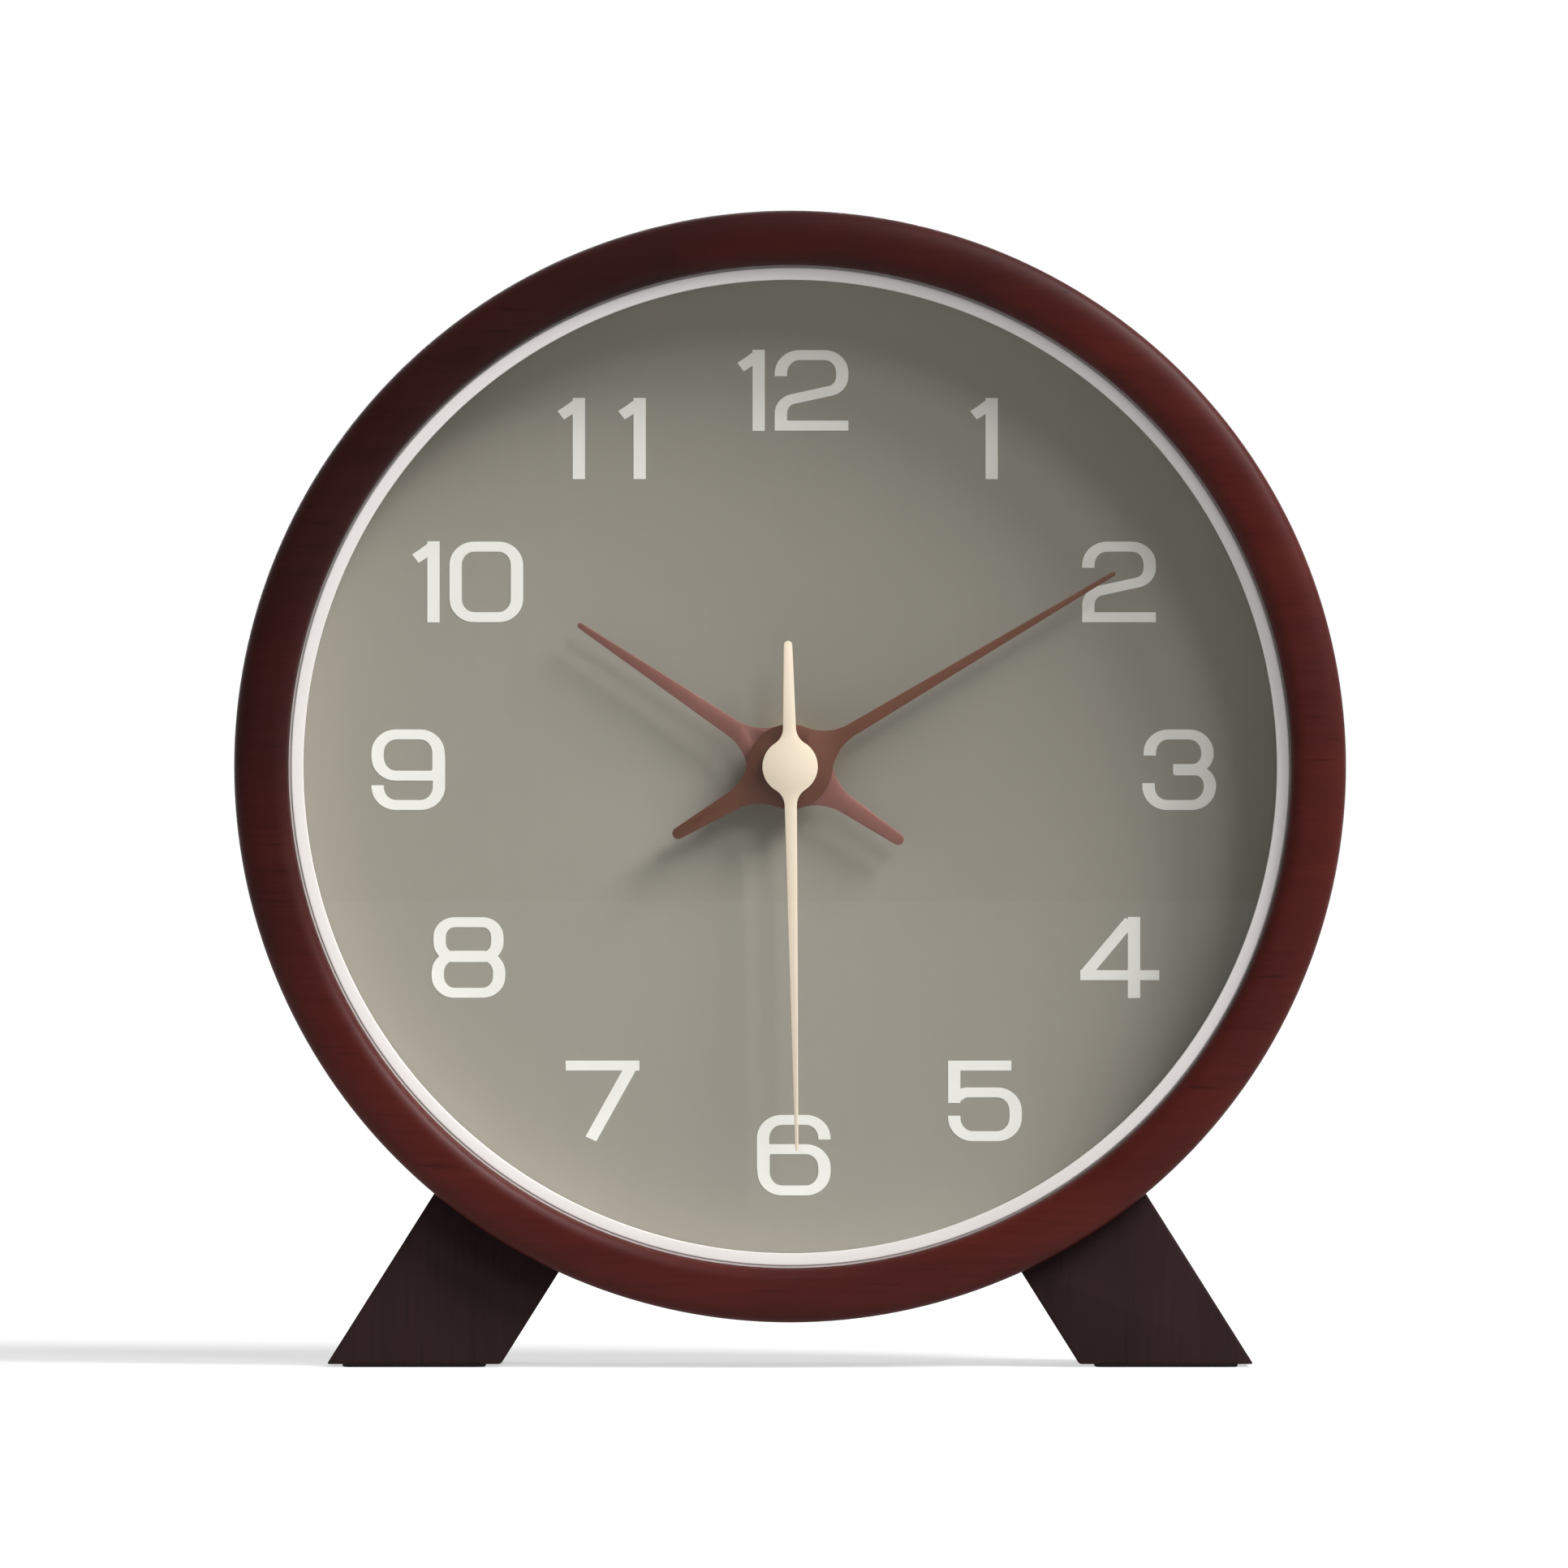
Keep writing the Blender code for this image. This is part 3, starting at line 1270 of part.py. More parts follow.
def make_movement_front_case():
    """The front half of the movement's body, with the neck that comes through the dial."""
    plate = [square_outline(MOVEMENT_HALF, MOVEMENT_CORNER)]
    case = extruded("movement_front_case", plate, CHAMBER_FRONT, MOVEMENT_FRONT, black_plastic(), DIAL_FRAME)
    plastic = black_plastic()
    join(case, drum("neck", NECK_RADIUS, CHAMBER_FRONT + SUNK, NUT_FRONT, DISC_STEPS, plastic, DIAL_FRAME))
    drill(case, "neck_bore", NECK_BORE, CHAMBER_FRONT - OVERRUN, NUT_FRONT + OVERRUN, DISC_STEPS)
    for i, place in enumerate(bridge_corners()):
        low = BRIDGE_FRONT + FINE_GAP
        high = CHAMBER_FRONT + SUNK
        post = drum(f"front_post_{i + 1}", POST_RADIUS, low, high, PIN_STEPS, plastic, DIAL_FRAME, xy=place)
        join(case, post)
    for name, place in (("minute_pivot", MINUTE_XY), ("setting_pivot", SETTING_XY)):
        low = CHAMBER_FRONT - OVERRUN
        drill(case, name, ARBOR_RADIUS + PIVOT_GAP, low, CHAMBER_FRONT + PIVOT_DEPTH, PIN_STEPS, place)
    for side, side_name in ((-1, "left"), (1, "right")):
        for height, height_name in ((CLIP_HIGH, "high"), (CLIP_LOW, "low")):
            name = f"clip_{side_name}_{height_name}"
            low = -height - CLIP_WIDTH / 2
            high = -height + CLIP_WIDTH / 2
            join(case, extruded(name, [clip_outline(side)], low, high, plastic, PLAN_FRAME))


def make_movement_rear_case():
    """The rear half of the movement's body: a chamber for the train and an open bay for the cell."""
    plastic = black_plastic()
    outline = [square_outline(MOVEMENT_HALF, MOVEMENT_CORNER)]
    case = extruded("movement_rear_case", outline, MOVEMENT_BACK, REAR_CASE_FRONT, plastic, DIAL_FRAME)
    low = (-CHAMBER_HALF, CHAMBER_BOTTOM, CHAMBER_BACK)
    high = (CHAMBER_HALF, CHAMBER_HALF, REAR_CASE_FRONT + OVERRUN)
    cut(case, block("chamber", low, high, plastic, DIAL_FRAME))
    low = (-CHAMBER_HALF, BAY_BOTTOM, MOVEMENT_BACK - OVERRUN)
    high = (CHAMBER_HALF, BAY_TOP, REAR_CASE_FRONT + OVERRUN)
    cut(case, block("bay", low, high, plastic, DIAL_FRAME))
    slot_back = MOVEMENT_FRONT - CLIP_REACH - FINE_GAP
    slot_front = slot_back + CLIP_HOOK_HEIGHT + 2 * FINE_GAP
    slot_half = CLIP_WIDTH / 2 + FINE_GAP
    notch_inner = CHAMBER_HALF - CONTACT_THICKNESS - 2 * FINE_GAP
    for side, side_name in ((-1, "left"), (1, "right")):
        ends = sorted((side * notch_inner, side * CHAMBER_HALF))
        low = (ends[0], BAY_TOP - OVERRUN, CHAMBER_BACK)
        high = (ends[1], CHAMBER_BOTTOM + OVERRUN, CONTACT_LEG_FRONT + FINE_GAP)
        cut(case, block(f"contact_notch_{side_name}", low, high, plastic, DIAL_FRAME))
        ends = sorted((side * (CHAMBER_HALF - OVERRUN), side * (MOVEMENT_HALF + OVERRUN)))
        for height, height_name in ((CLIP_HIGH, "high"), (CLIP_LOW, "low")):
            low = (ends[0], height - slot_half, slot_back)
            high = (ends[1], height + slot_half, slot_front)
            cut(case, block(f"clip_slot_{side_name}_{height_name}", low, high, plastic, DIAL_FRAME))
    floor = CHAMBER_BACK - SUNK
    bearings = (
        ("axis", AXIS_XY),
        ("third", THIRD_XY),
        ("intermediate", INTERMEDIATE_XY),
        ("rotor", ROTOR_XY),
    )
    for name, place in bearings:
        boss = drum(f"{name}_boss", BOSS_RADIUS, floor, BOSS_FRONT, PIN_STEPS, plastic, DIAL_FRAME, xy=place)
        join(case, boss)
    supports = [(place, BRIDGE_BACK - FINE_GAP) for place in bridge_corners()[:-1]]
    leg_middle = STATOR_LEG_WIDTH / 2
    for x in (STATOR_LEFT + leg_middle, STATOR_RIGHT - leg_middle):
        supports.append((Vector((x, ROTOR_XY.y)), STATOR_BACK - FINE_GAP))
    for i, (place, top) in enumerate(supports):
        post = drum(f"rear_post_{i + 1}", POST_RADIUS, floor, top, PIN_STEPS, plastic, DIAL_FRAME, xy=place)
        join(case, post)
    for name, place in bearings:
        low = ARBOR_BACK - FINE_GAP
        drill(case, f"{name}_bearing", ARBOR_RADIUS + PIVOT_GAP, low, BOSS_FRONT + OVERRUN, PIN_STEPS, place)
    radius = SETTING_SHAFT_RADIUS + PIVOT_GAP
    low = MOVEMENT_BACK - OVERRUN
    drill(case, "setting_hole", radius, low, CHAMBER_BACK + OVERRUN, PIN_STEPS, SETTING_XY)


def make_train_bridge():
    """The plate between the motion work and the train, with a hole for each arbor."""
    half = BRIDGE_HALF_WIDTH
    arbor_hole = ARBOR_RADIUS + PIVOT_GAP
    pinion_hole = SETTING_LEAVES * MOTION_MODULE / 2 + MOTION_MODULE * ADDENDUM_SHARE + FINE_GAP
    outlines = [
        rounded_rectangle(-half, half, -BRIDGE_DROP, BRIDGE_RISE, BRIDGE_CORNER),
        round_hole(CANNON_RADIUS + PIVOT_GAP, PIN_STEPS),
        round_hole(arbor_hole, PIN_STEPS, THIRD_XY),
        round_hole(arbor_hole, PIN_STEPS, INTERMEDIATE_XY),
        round_hole(arbor_hole, PIN_STEPS, ROTOR_XY),
        round_hole(arbor_hole, PIN_STEPS, MINUTE_XY),
        round_hole(pinion_hole, DISC_STEPS, SETTING_XY),
    ]
    extruded("train_bridge", outlines, BRIDGE_BACK, BRIDGE_FRONT, grey_plastic(), DIAL_FRAME)


def make_fixings():
    """What clamps the movement to the dial."""
    bore = NECK_HOLE_RADIUS
    drum("rubber_washer", WASHER_RADIUS, WASHER_BACK, WASHER_FRONT, DISC_STEPS, rubber(), DIAL_FRAME, bore)
    low = METAL_WASHER_BACK
    high = METAL_WASHER_FRONT
    drum("brass_washer", METAL_WASHER_RADIUS, low, high, DISC_STEPS, brass(), DIAL_FRAME, bore)
    outlines = [round_hole(NUT_HALF_WIDTH, NUT_SIDES), round_hole(bore, DISC_STEPS)]
    extruded("hex_nut", outlines, NUT_BACK, NUT_FRONT, brass(), DIAL_FRAME)


# Wheels


def gear(name, teeth, module, phase, back, front, xy, material):
    wheel = extruded(name, [gear_outline(teeth, module, phase)], back, front, material, DIAL_FRAME)
    wheel.location.xy = xy
    return wheel


def arbor(name, radius, back, front, xy, material):
    return drum(name, radius, back, front, PIN_STEPS, material, DIAL_FRAME, xy=xy)


def make_hour_wheel():
    """The hour wheel and the tube that carries the hour hand."""
    phase = meshing_phase(MINUTE_WHEEL_DIRECTION + math.pi, 0, MINUTE_LEAVES, HOUR_TEETH)
    plastic = acetal()
    low = HOUR_WHEEL_BACK
    high = HOUR_WHEEL_FRONT
    wheel = gear("hour_wheel", HOUR_TEETH, MOTION_MODULE, phase, low, high, AXIS_XY, plastic)
    low = HOUR_WHEEL_BACK + SUNK
    join(wheel, drum("hour_tube", HOUR_TUBE_RADIUS, low, HOUR_TUBE_FRONT, DISC_STEPS, plastic, DIAL_FRAME))
    low = HOUR_WHEEL_BACK - OVERRUN
    drill(wheel, "hour_bore", HOUR_TUBE_BORE, low, HOUR_TUBE_FRONT + OVERRUN, DISC_STEPS)


def make_cannon_pinion():
    """The pinion and tube that carry the minute hand."""
    low = MINUTE_WHEEL_BACK - PINION_OVERHANG
    high = MINUTE_WHEEL_FRONT + PINION_OVERHANG
    metal = brass()
    pinion = gear("cannon_pinion", CANNON_LEAVES, MOTION_MODULE, 0, low, high, AXIS_XY, metal)
    tube = drum("cannon_tube", CANNON_RADIUS, CENTRE_WHEEL_BACK, CANNON_FRONT, DISC_STEPS, metal, DIAL_FRAME)
    join(pinion, tube)
    low = CENTRE_WHEEL_BACK - OVERRUN
    drill(pinion, "cannon_bore", CANNON_BORE, low, CANNON_FRONT + OVERRUN, PIN_STEPS)


def make_centre_wheel():
    """The wheel that grips the cannon pinion's tube, so that the hands can slip on it while they are set."""
    phase = meshing_phase(THIRD_WHEEL_DIRECTION + math.pi, 0, THIRD_LEAVES, CENTRE_TEETH)
    outlines = [
        gear_outline(CENTRE_TEETH, CENTRE_MODULE, phase),
        round_hole(CANNON_RADIUS + PIVOT_GAP, DISC_STEPS),
    ]
    extruded("centre_wheel", outlines, CENTRE_WHEEL_BACK, CENTRE_WHEEL_FRONT, brass(), DIAL_FRAME)


def make_third_wheel():
    phase = meshing_phase(THIRD_WHEEL_DIRECTION, 0, SECONDS_LEAVES, THIRD_TEETH)
    plastic = acetal()
    low = THIRD_WHEEL_BACK
    wheel = gear("third_wheel", THIRD_TEETH, TRAIN_MODULE, phase, low, THIRD_WHEEL_FRONT, THIRD_XY, plastic)
    join(wheel, arbor("third_arbor", ARBOR_RADIUS, ARBOR_BACK, ARBOR_FRONT, THIRD_XY, plastic))
    low = CENTRE_WHEEL_BACK - PINION_OVERHANG
    high = CENTRE_WHEEL_FRONT + PINION_OVERHANG
    join(wheel, gear("third_pinion", THIRD_LEAVES, CENTRE_MODULE, 0, low, high, THIRD_XY, plastic))


def make_seconds_wheel():
    plastic = acetal()
    low = SECONDS_WHEEL_BACK
    high = SECONDS_WHEEL_FRONT
    wheel = gear("seconds_wheel", SECONDS_TEETH, INTERMEDIATE_MODULE, 0, low, high, AXIS_XY, plastic)
    join(wheel, arbor("seconds_arbor", ARBOR_RADIUS, ARBOR_BACK, SECONDS_ARBOR_FRONT, AXIS_XY, plastic))
    low = THIRD_WHEEL_BACK - PINION_OVERHANG
    high = THIRD_WHEEL_FRONT + PINION_OVERHANG
    join(wheel, gear("seconds_pinion", SECONDS_LEAVES, TRAIN_MODULE, 0, low, high, AXIS_XY, plastic))


def make_intermediate_wheel():
    plastic = acetal()
    place = INTERMEDIATE_XY
    low = INTERMEDIATE_BACK
    high = INTERMEDIATE_FRONT
    wheel = gear("intermediate_wheel", INTERMEDIATE_TEETH, MOTOR_MODULE, 0, low, high, place, plastic)
    join(wheel, arbor("intermediate_arbor", ARBOR_RADIUS, ARBOR_BACK, ARBOR_FRONT, place, plastic))
    phase = meshing_phase(INTERMEDIATE_DIRECTION, 0, SECONDS_TEETH, INTERMEDIATE_LEAVES)
    low = SECONDS_WHEEL_BACK - PINION_OVERHANG
    high = SECONDS_WHEEL_FRONT + PINION_OVERHANG
    leaves = INTERMEDIATE_LEAVES
    module = INTERMEDIATE_MODULE
    join(wheel, gear("intermediate_pinion", leaves, module, phase, low, high, place, plastic))


def make_rotor():
    """The motor's magnet on its arbor, with the pinion that drives the train."""
    body = drum("rotor", ROTOR_RADIUS, ROTOR_BACK, ROTOR_FRONT, DISC_STEPS, magnet(), DIAL_FRAME, xy=ROTOR_XY)
    join(body, arbor("rotor_arbor", ARBOR_RADIUS, ARBOR_BACK, ARBOR_FRONT, ROTOR_XY, magnet()))
    phase = meshing_phase(ROTOR_DIRECTION, 0, INTERMEDIATE_TEETH, ROTOR_LEAVES)
    low = INTERMEDIATE_BACK - PINION_OVERHANG
    high = INTERMEDIATE_FRONT + PINION_OVERHANG
    join(body, gear("rotor_pinion", ROTOR_LEAVES, MOTOR_MODULE, phase, low, high, ROTOR_XY, magnet()))


def minute_wheel_phase():
    return meshing_phase(MINUTE_WHEEL_DIRECTION, 0, CANNON_LEAVES, MINUTE_TEETH)


def make_minute_wheel():
    plastic = acetal()
    place = MINUTE_XY
    phase = minute_wheel_phase()
    low = MINUTE_WHEEL_BACK
    wheel = gear("minute_wheel", MINUTE_TEETH, MOTION_MODULE, phase, low, MINUTE_WHEEL_FRONT, place, plastic)
    join(wheel, arbor("minute_arbor", ARBOR_RADIUS, BRIDGE_BACK + FINE_GAP, PIVOT_FRONT, place, plastic))
    low = HOUR_WHEEL_BACK - PINION_OVERHANG
    high = HOUR_WHEEL_FRONT + PINION_OVERHANG
    join(wheel, gear("minute_pinion", MINUTE_LEAVES, MOTION_MODULE, 0, low, high, place, plastic))


def make_setting_arbor():
    """The shaft from the setting knob to the minute wheel."""
    plastic = acetal()
    back = KNOB_HOLE_BACK + FINE_GAP
    profile = [
        (0, PIVOT_FRONT),
        (ARBOR_RADIUS, PIVOT_FRONT),
        (ARBOR_RADIUS, HOUR_WHEEL_FRONT),
        (SETTING_SHAFT_RADIUS, HOUR_WHEEL_FRONT),
        (SETTING_SHAFT_RADIUS, back),
        (0, back),
    ]
    shaft = turned("setting_arbor", profile, PIN_STEPS, plastic, DIAL_FRAME)
    shaft.location.xy = SETTING_XY
    phase = meshing_phase(SETTING_DIRECTION, minute_wheel_phase(), MINUTE_TEETH, SETTING_LEAVES)
    low = MINUTE_WHEEL_BACK - PINION_OVERHANG
    high = MINUTE_WHEEL_FRONT + PINION_OVERHANG
    join(shaft, gear("setting_pinion", SETTING_LEAVES, MOTION_MODULE, phase, low, high, SETTING_XY, plastic))


def make_setting_knob():
    outline = []
    for i in range(2 * KNOB_RIBS):
        radius = KNOB_RADIUS if i % 2 == 0 else KNOB_RADIUS - KNOB_RIB
        outline.append(tuple(towards(math.pi * i / KNOB_RIBS, radius)))
    knob = extruded("setting_knob", [outline], KNOB_BACK, KNOB_FRONT, grey_plastic(), DIAL_FRAME)
    knob.location.xy = SETTING_XY
    radius = SETTING_SHAFT_RADIUS + PIVOT_GAP
    drill(knob, "knob_hole", radius, KNOB_HOLE_BACK, KNOB_FRONT + OVERRUN, PIN_STEPS, SETTING_XY)


# Motor and board


def make_stator():
    """The motor's soft iron: a plate round the rotor, with a leg up to each end of the coil's core."""
    top = COIL_Y + STATOR_LEG_WIDTH / 2
    left_inner = STATOR_LEFT + STATOR_LEG_WIDTH
    right_inner = STATOR_RIGHT - STATOR_LEG_WIDTH
    body = [
        (STATOR_LEFT, STATOR_BOTTOM),
        (STATOR_RIGHT, STATOR_BOTTOM),
        (STATOR_RIGHT, top),
        (right_inner, top),
        (right_inner, STATOR_TOP),
        (left_inner, STATOR_TOP),
        (left_inner, top),
        (STATOR_LEFT, top),
    ]
    outlines = [body, round_hole(ROTOR_RADIUS + ROTOR_AIR_GAP, DISC_STEPS, ROTOR_XY)]
    extruded("stator", outlines, STATOR_BACK, STATOR_FRONT, silicon_steel(), DIAL_FRAME)


def make_coil():
    half = CORE_WIDTH / 2
    low = (STATOR_LEFT, COIL_Y - half, CORE_BACK)
    block("coil_core", low, (STATOR_RIGHT, COIL_Y + half, CORE_FRONT), silicon_steel(), DIAL_FRAME)
    bore = corner_radius(BOBBIN_BORE, DISC_STEPS)
    flange_left = COIL_LEFT + COIL_FLANGE_THICKNESS
    flange_right = COIL_RIGHT - COIL_FLANGE_THICKNESS
    profile = [
        (COIL_FLANGE_RADIUS, COIL_RIGHT),
        (COIL_FLANGE_RADIUS, flange_right),
        (BOBBIN_RADIUS, flange_right),
        (BOBBIN_RADIUS, flange_left),
        (COIL_FLANGE_RADIUS, flange_left),
        (COIL_FLANGE_RADIUS, COIL_LEFT),
        (bore, COIL_LEFT),
        (bore, COIL_RIGHT),
    ]
    bobbin = turned("coil_bobbin", profile, DISC_STEPS, grey_plastic(), ACROSS_FRAME)
    bobbin.location.xy = (COIL_Y, COIL_Z)
    drum(
        "coil_winding",
        WINDING_BORE + COIL_WIRE_DEPTH,
        flange_left + FINE_GAP,
        flange_right - FINE_GAP,
        DISC_STEPS,
        copper_wire(),
        ACROSS_FRAME,
        WINDING_BORE,
        (COIL_Y, COIL_Z),
    )


def make_board():
    """The board along the chamber's top, with the crystal and the chip on its front."""
    half = BOARD_WIDTH / 2
    low = (-BOARD_HALF, COIL_Y - half, BOARD_BACK)
    block("circuit_board", low, (BOARD_HALF, COIL_Y + half, BOARD_FRONT), board_green(), DIAL_FRAME)
    middle = BOARD_HALF * CRYSTAL_PLACE_SHARE
    drum(
        "quartz_crystal",
        CRYSTAL_RADIUS,
        middle - CRYSTAL_LENGTH / 2,
        middle + CRYSTAL_LENGTH / 2,
        PIN_STEPS,
        steel(),
        ACROSS_FRAME,
        xy=(COIL_Y, BOARD_FRONT + FINE_GAP + CRYSTAL_RADIUS),
    )
    middle = BOARD_HALF * CHIP_PLACE_SHARE
    half = CHIP_SIDE / 2
    back = BOARD_FRONT + FINE_GAP
    low = (middle - half, COIL_Y - half, back)
    high = (middle + half, COIL_Y + half, back + CHIP_THICKNESS)
    block("control_chip", low, high, black_plastic(), DIAL_FRAME)


# Cell and contacts


def make_contact(name, left, right):
    """A plate at one end of the cell, with a leg along the chamber's side up to the board."""
    low = CELL_Y - CONTACT_WIDTH / 2
    high = CELL_Y + CONTACT_WIDTH / 2
    end = COIL_Y + BOARD_WIDTH * CONTACT_END_SHARE
    outline = [
        (low, CONTACT_BACK),
        (end, CONTACT_BACK),
        (end, CONTACT_LEG_FRONT),
        (high, CONTACT_LEG_FRONT),
        (high, CONTACT_FRONT),
        (low, CONTACT_FRONT),
    ]
    extruded(name, [outline], left, right, steel(), ACROSS_FRAME)


def spring_points():
    """The spring's centre line, narrowing from the contact to the cell, with a straight end at each."""
    coil_start = SPRING_BASE_X - SPRING_WIRE
    coil_end = SPRING_TIP_X + SPRING_WIRE
    count = round(SPRING_TURNS * SPRING_POINTS_PER_TURN)
    points = []
    for i in range(count + 1):
        share = i / count
        radius = SPRING_BASE_RADIUS + (SPRING_TIP_RADIUS - SPRING_BASE_RADIUS) * share
        flat = towards(2 * math.pi * SPRING_TURNS * share, radius)
        points.append(Vector((flat.x, flat.y, coil_start + (coil_end - coil_start) * share)))
    first = Vector((points[0].x, points[0].y, SPRING_BASE_X))
    last = Vector((points[-1].x, points[-1].y, SPRING_TIP_X))
    return [first] + points + [last]


def least_gap(points):
    """The least gap between two turns of the spring's wire."""
    apart = SPRING_POINTS_PER_TURN // 2
    gaps = []
    for i, point in enumerate(points):
        for other in points[i + apart :]:
            gaps.append((other - point).length - SPRING_WIRE)
    return min(gaps)


def make_negative_spring():
    """The conical spring that presses on the cell's flat end."""
    curve = bpy.data.curves.new("negative_spring", "CURVE")
    curve.dimensions = "3D"
    curve.bevel_depth = SPRING_WIRE / 2
    curve.bevel_resolution = 1
    curve.use_fill_caps = True
    curve.materials.append(steel())
    points = spring_points()
    spline = curve.splines.new("POLY")
    spline.points.add(len(points) - 1)
    for target, point in zip(spline.points, points):
        target.co = (*point, 1)
    spring = place(bpy.data.objects.new("negative_spring", curve), ACROSS_FRAME, PARTS)
    spring.location.xy = (CELL_Y, CELL_Z)
    meshed(spring, PARTS)
    print(f"spring's least gap: {least_gap(points):.5f} m")


def make_cell():
    radius = CELL_DIAMETER / 2
    shoulder = CELL_LEFT + CELL_NUB_LENGTH
    profile = [
        (0, CELL_RIGHT),
        (radius - CELL_EDGE, CELL_RIGHT),
        (radius, CELL_RIGHT - CELL_EDGE),
        (radius, shoulder + CELL_EDGE),
        (radius - CELL_EDGE, shoulder),
        (CELL_NUB_RADIUS, shoulder),
        (CELL_NUB_RADIUS, CELL_LEFT),
        (0, CELL_LEFT),
    ]
    cell = turned("aa_cell", profile, DISC_STEPS, cell_label(), ACROSS_FRAME)
    cell.location.xy = (CELL_Y, CELL_Z)


# The clock


def make_case():
    case = make_wood_case()
    make_front_glass()
    make_bezel_ring()
    make_dial_ring()
    make_dial_plate()
    for name, side in (("left_foot", -1), ("right_foot", 1)):
        foot = make_foot(name, side)
        make_foot_screws(case, foot, name, side)
    cover = make_back_cover()
    make_cover_screws(case, cover)


def make_hands():
    make_hour_hand()
    make_minute_hand()
    make_second_hand()


def make_movement():
    make_movement_front_case()
    make_movement_rear_case()
    make_train_bridge()
    make_fixings()
    make_hour_wheel()
    make_cannon_pinion()
    make_centre_wheel()
    make_third_wheel()
    make_seconds_wheel()
    make_intermediate_wheel()
    make_rotor()
    make_minute_wheel()
    make_setting_arbor()
    make_setting_knob()
    make_stator()
    make_coil()
    make_board()
    make_contact("positive_contact", POSITIVE_LEFT, POSITIVE_RIGHT)
    make_contact("negative_contact", NEGATIVE_LEFT, NEGATIVE_RIGHT)
    make_negative_spring()
    make_cell()


make_case()
make_hands()
make_movement()
settle_parts()
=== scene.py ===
"""Round desk clock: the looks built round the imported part.

The clock stands on z = 0 with its face along -Y. Turned and flat pieces are made in the dial's own frame, which
sits on the hands' axis: +X is the viewer's right, +Y is up and +Z comes out of the dial. Lengths are in metres.
"""

import json
import math

import bmesh
import bpy
from mathutils import Matrix, Vector

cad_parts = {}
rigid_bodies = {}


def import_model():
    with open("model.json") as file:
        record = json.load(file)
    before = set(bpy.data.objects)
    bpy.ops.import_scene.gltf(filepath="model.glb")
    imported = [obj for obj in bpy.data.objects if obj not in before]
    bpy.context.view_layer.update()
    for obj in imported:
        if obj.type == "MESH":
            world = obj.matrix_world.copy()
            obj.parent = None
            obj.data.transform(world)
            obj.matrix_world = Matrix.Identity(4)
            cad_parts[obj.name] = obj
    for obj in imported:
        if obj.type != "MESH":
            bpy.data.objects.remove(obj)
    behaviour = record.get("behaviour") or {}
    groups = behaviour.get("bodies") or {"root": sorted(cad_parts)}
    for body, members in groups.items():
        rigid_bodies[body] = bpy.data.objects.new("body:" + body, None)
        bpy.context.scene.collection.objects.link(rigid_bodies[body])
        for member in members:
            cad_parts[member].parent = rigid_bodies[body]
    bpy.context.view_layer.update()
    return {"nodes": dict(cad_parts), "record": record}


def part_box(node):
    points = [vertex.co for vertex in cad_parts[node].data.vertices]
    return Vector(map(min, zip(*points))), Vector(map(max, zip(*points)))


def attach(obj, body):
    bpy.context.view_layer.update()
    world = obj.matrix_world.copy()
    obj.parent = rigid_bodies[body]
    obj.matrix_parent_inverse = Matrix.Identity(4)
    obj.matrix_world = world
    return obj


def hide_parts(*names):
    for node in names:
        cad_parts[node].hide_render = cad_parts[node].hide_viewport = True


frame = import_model()
NODES = frame["nodes"]

AXIS_HEIGHT = 0.0974
DIAL = Matrix.Translation((0, 0, AXIS_HEIGHT)) @ Matrix.Rotation(math.pi / 2, 4, "X")
WORLD = Matrix.Identity(4)
ROUND_STEPS = 256
SMALL_STEPS = 48
TINY = 1e-9
MERGE_DISTANCE = 1e-7
UNIT_CORNERS = ((-1, -1), (1, -1), (1, 1), (-1, 1))

# Radii and stations along the hands' axis, as in the solids
RIM_RADIUS = 0.0900
LIP_RADIUS = 0.0812
BORE_RADIUS = 0.0828
FILL_RADIUS = 0.0825
BARREL_RADIUS = 0.0886
BEZEL_RADIUS = 0.0809
SHOW_RADIUS = 0.0788
SPACER_RADIUS = 0.0793
RIM_FRONT = 0.0210
BEAD_BASE = 0.0182
BEAD_WALL = 0.0003
BEAD_CREST = 0.38
BEAD_FULLNESS = 0.8
LIP_Z = 0.0175
BARREL_FRONT = 0.0162
GLASS_FRONT = 0.0172
GLASS_BACK = 0.0152
RING_FRONT = 0.0149
RING_BACK = 0.0033
DIAL_FRONT = 0.0030
DIAL_BACK = 0.0020
CASE_BACK = -0.0185
COVER_FRONT = -0.0188
COVER_BACK = -0.0210
COVER_RADIUS = 0.0883
SPIGOT_RADIUS = 0.0807
MOVEMENT_BACK = -0.0156
MOVEMENT_HALF = 0.0280

# Smaller sizes
BEZEL_SLOPE = 0.00038  # the front ring's fall towards its inner edge
GLASS_EDGE = 0.0003
SPIGOT_GAP = 0.0003
NECK_HOLE_RADIUS = 0.0043
COVER_SCREWS = 4
COVER_SCREW_RADIUS = 0.0012
COVER_SCREW_HEAD = 0.0014
SCREW_GAP = 0.0001
KNOB_RADIUS = 0.00585
KNOB_RIB = 0.00015
KNOB_RIBS = 20
SETTING_AXIS = (0.0131933, 0.0054649, 0)
MOVEMENT_WALL = 0.0008

# Feet
FOOT_SPLAY = math.radians(32.2)
FOOT_WIDTH = 0.0239
FOOT_FRONT = 0.0133
FOOT_BACK = -0.0177
FOOT_BOTTOM = 0.0005 - AXIS_HEIGHT
PAD_CORNER = 0.0020
PAD_GAP = 0.0003

# Hands: where each points, in degrees clockwise from 12
HOUR_ANGLE = 303.9
MINUTE_ANGLE = 59.2
SECOND_ANGLE = 179.0

